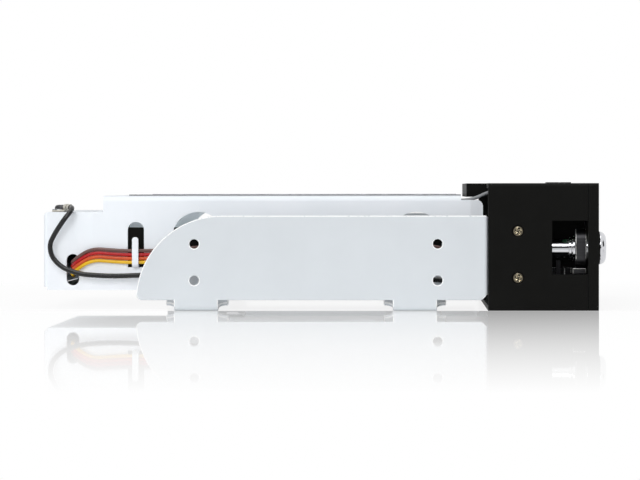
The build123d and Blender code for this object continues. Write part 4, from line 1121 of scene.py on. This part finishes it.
@dataclass
class Studio:
    """The pale floor and its curved backdrop, the lamps, the dark cards and the world."""

    floor_size: float = 7000.0
    backdrop: float = 2600.0
    wall_height: float = 3000.0
    sweep_radius: float = 600.0
    level: float = 0.28
    bay_power: float = 0.018
    white: Steps = (252, 252, 252)
    white_ends: tuple[float, float] = (0.09, 0.32)
    white_near: float = 0.9
    mirror_ends: tuple[float, float] = (0.52, 0.10)
    mirror_share: float = 0.70
    mirror_rough: float = 0.02
    mirror_edge: tuple[float, float] = (-0.070, -0.076)
    mirror_behind: float = 0.12
    grazing_power: float = 4.0
    aim: Point = (0, 0, 20)
    card_side: float = 1.0

    def floor_material(self) -> bpy.types.Material:
        """Builds the floor's white, which mirrors the object softly near it.

        Returns:
            The floor's material.
        """
        made = bpy.data.materials.new("studio_floor")
        sheet = Sheet.of(made)
        matt = sheet.add("ShaderNodeBsdfPrincipled", {
            "Base Color": (*srgb(*self.white), 1.0), "Roughness": 0.9, "Specular IOR Level": 0.0})
        bright = sheet.add("ShaderNodeEmission", {"Strength": 1.0})
        spot = sheet.add("ShaderNodeTexCoord").outputs["Object"]
        length = sheet.add("ShaderNodeVectorMath", {0: spot}, operation="LENGTH")
        reach = length.outputs["Value"]
        # Near the object the white shows a little of its shadow; further out it is plain.
        far = sheet.span(reach, *self.white_ends, self.white_near, 1.0)
        lift = sheet.mix(sheet.product(sheet.seen(), far), matt, bright)
        mirror = sheet.add("ShaderNodeBsdfGlossy", {
            "Color": (1.0, 1.0, 1.0, 1.0), "Roughness": self.mirror_rough})
        # The mirror image fades outwards, and is faint but in front of the left side.
        near = sheet.span(reach, *self.mirror_ends, 0.0, self.mirror_share)
        y = sheet.add("ShaderNodeSeparateXYZ", {0: spot}).outputs["Y"]
        before = sheet.span(y, *self.mirror_edge, self.mirror_behind, 1.0)
        facing = sheet.add("ShaderNodeLayerWeight").outputs["Facing"]
        grazing = sheet.sums("POWER", facing, self.grazing_power)
        mixed = sheet.mix(sheet.product(near, before, grazing), lift, mirror)
        sheet.add("ShaderNodeOutputMaterial", {"Surface": mixed.outputs[0]})
        return made

    def build_floor(self) -> None:
        """Models the floor, which curves up into the backdrop."""
        middle = self.backdrop - self.floor_size / 2
        floor = plane("studio_floor", self.floor_size * MM, (0, middle * MM, 0))
        settle(floor)
        pick(floor, lambda place: place.y > 0)
        with editing(None):
            bpy.ops.mesh.extrude_region_move(
                TRANSFORM_OT_translate={"value": (0, 0, self.wall_height * MM)})
        round_edges(floor, self.sweep_radius, 24)
        floor.data.materials.append(self.floor_material())
        smooth(floor)

    def build_world(self) -> None:
        """Sets a white surround that lights the object at a plain level."""
        world = bpy.data.worlds.new("studio")
        bpy.context.scene.world = world
        sheet = Sheet.of(world)
        ambient = sheet.add("ShaderNodeBackground", {
            "Color": (0.97, 0.985, 1.0, 1.0), "Strength": self.level})
        shown = sheet.add("ShaderNodeBackground", {
            "Color": (1.0, 1.0, 1.0, 1.0), "Strength": 1.0})
        mixed = sheet.mix(sheet.seen(), ambient, shown)
        sheet.add("ShaderNodeOutputWorld", {"Surface": mixed.outputs[0]})

    def build_lamps(self) -> None:
        """Hangs a soft box above, one beside the camera, a strip for gloss and the bay fill."""
        for name, place, side, power in (
            ("top_box", (-150, -200, 1100), 900, 5.0),
            ("front_box", (-300, -1600, 420), 900, 13.5),
            ("gloss_strip", (0, -1000, 640), 300, 2.6),
        ):
            light = bpy.data.lights.new(name, "AREA")
            light.shape = "SQUARE"
            light.size = side * MM
            light.energy = power
            lamp = link(name, light)
            lamp.location = Vector(place) * MM
            way = Vector(self.aim) - Vector(place)
            lamp.rotation_euler = way.to_track_quat("-Z", "Y").to_euler()
            lamp.visible_glossy = name != "front_box"
            lamp.visible_diffuse = name != "gloss_strip"
        for x in (-40, 20):
            bulb = bpy.data.lights.new("bay_fill", "POINT")
            bulb.energy = self.bay_power
            bulb.shadow_soft_size = 20 * MM
            lamp = link("bay_fill", bulb)
            lamp.location = Vector((x, 0, 24)) * MM
            hide(lamp, "camera", "glossy")

    def build_cards(self) -> None:
        """Stands dark cards behind the camera and before the door, which only gloss sees."""
        paint = bpy.data.materials.new("card_black")
        sheet = Sheet.of(paint)
        shader = sheet.add("ShaderNodeBsdfPrincipled", {
            "Base Color": (0.01, 0.01, 0.01, 1.0), "Roughness": 1.0})
        sheet.add("ShaderNodeOutputMaterial", {"Surface": shader.outputs[0]})
        for name, place, turn in (
            ("dark_card_side", (0.1, -2.0, 0.5), 0),
            ("dark_card_front", (1.7, -0.6, 0.72), 90),
        ):
            card = plane(name, self.card_side, place, (math.radians(90), 0, math.radians(turn)))
            settle(card)
            card.data.materials.append(paint)
            hide(card, "camera", "diffuse", "shadow", "transmission")

    def build(self) -> None:
        """Builds the whole studio."""
        self.build_floor()
        self.build_world()
        self.build_lamps()
        self.build_cards()
        bpy.context.scene.view_settings.view_transform = "Standard"


@dataclass
class PhotoCamera:
    """The camera of the photograph, a long lens far from the left side."""

    place: Point = (27.15, -1173.0, 39.4)
    yaw: float = 1.44
    pitch: float = 0.85
    roll: float = -0.05
    lens: float = 190.4
    sensor: float = 36.0
    nearest: float = 10.0
    farthest: float = 50000.0

    def build(self) -> None:
        """Makes the camera and gives it to the scene."""
        data = bpy.data.cameras.new("photo_camera")
        data.lens = self.lens
        data.sensor_width = self.sensor
        data.clip_start = self.nearest * MM
        data.clip_end = self.farthest * MM
        camera = link("photo_camera", data)
        camera.location = Vector(self.place) * MM
        turn = turned(self.yaw, "Z") @ turned(90 - self.pitch, "X") @ turned(self.roll, "Z")
        camera.rotation_euler = turn.to_euler()
        bpy.context.scene.camera = camera


def main() -> None:
    logging.basicConfig(level=logging.INFO, format="%(message)s")
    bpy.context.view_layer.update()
    finishes = Finishes(Effects())
    for skin in SKINS:
        piece = skin.build(finishes)
        log.info("%s: %d faces", piece.name, len(piece.data.polygons))
    parts = (CrossScrews(), LidShadowStrip(), BlindRivets(), GroundTerminal(), BoardParts(), LockDetail())
    for part in parts:
        part.build(finishes)
        log.info("%s built", type(part).__name__)
    Studio().build()
    PhotoCamera().build()


if __name__ == "__main__":
    main()
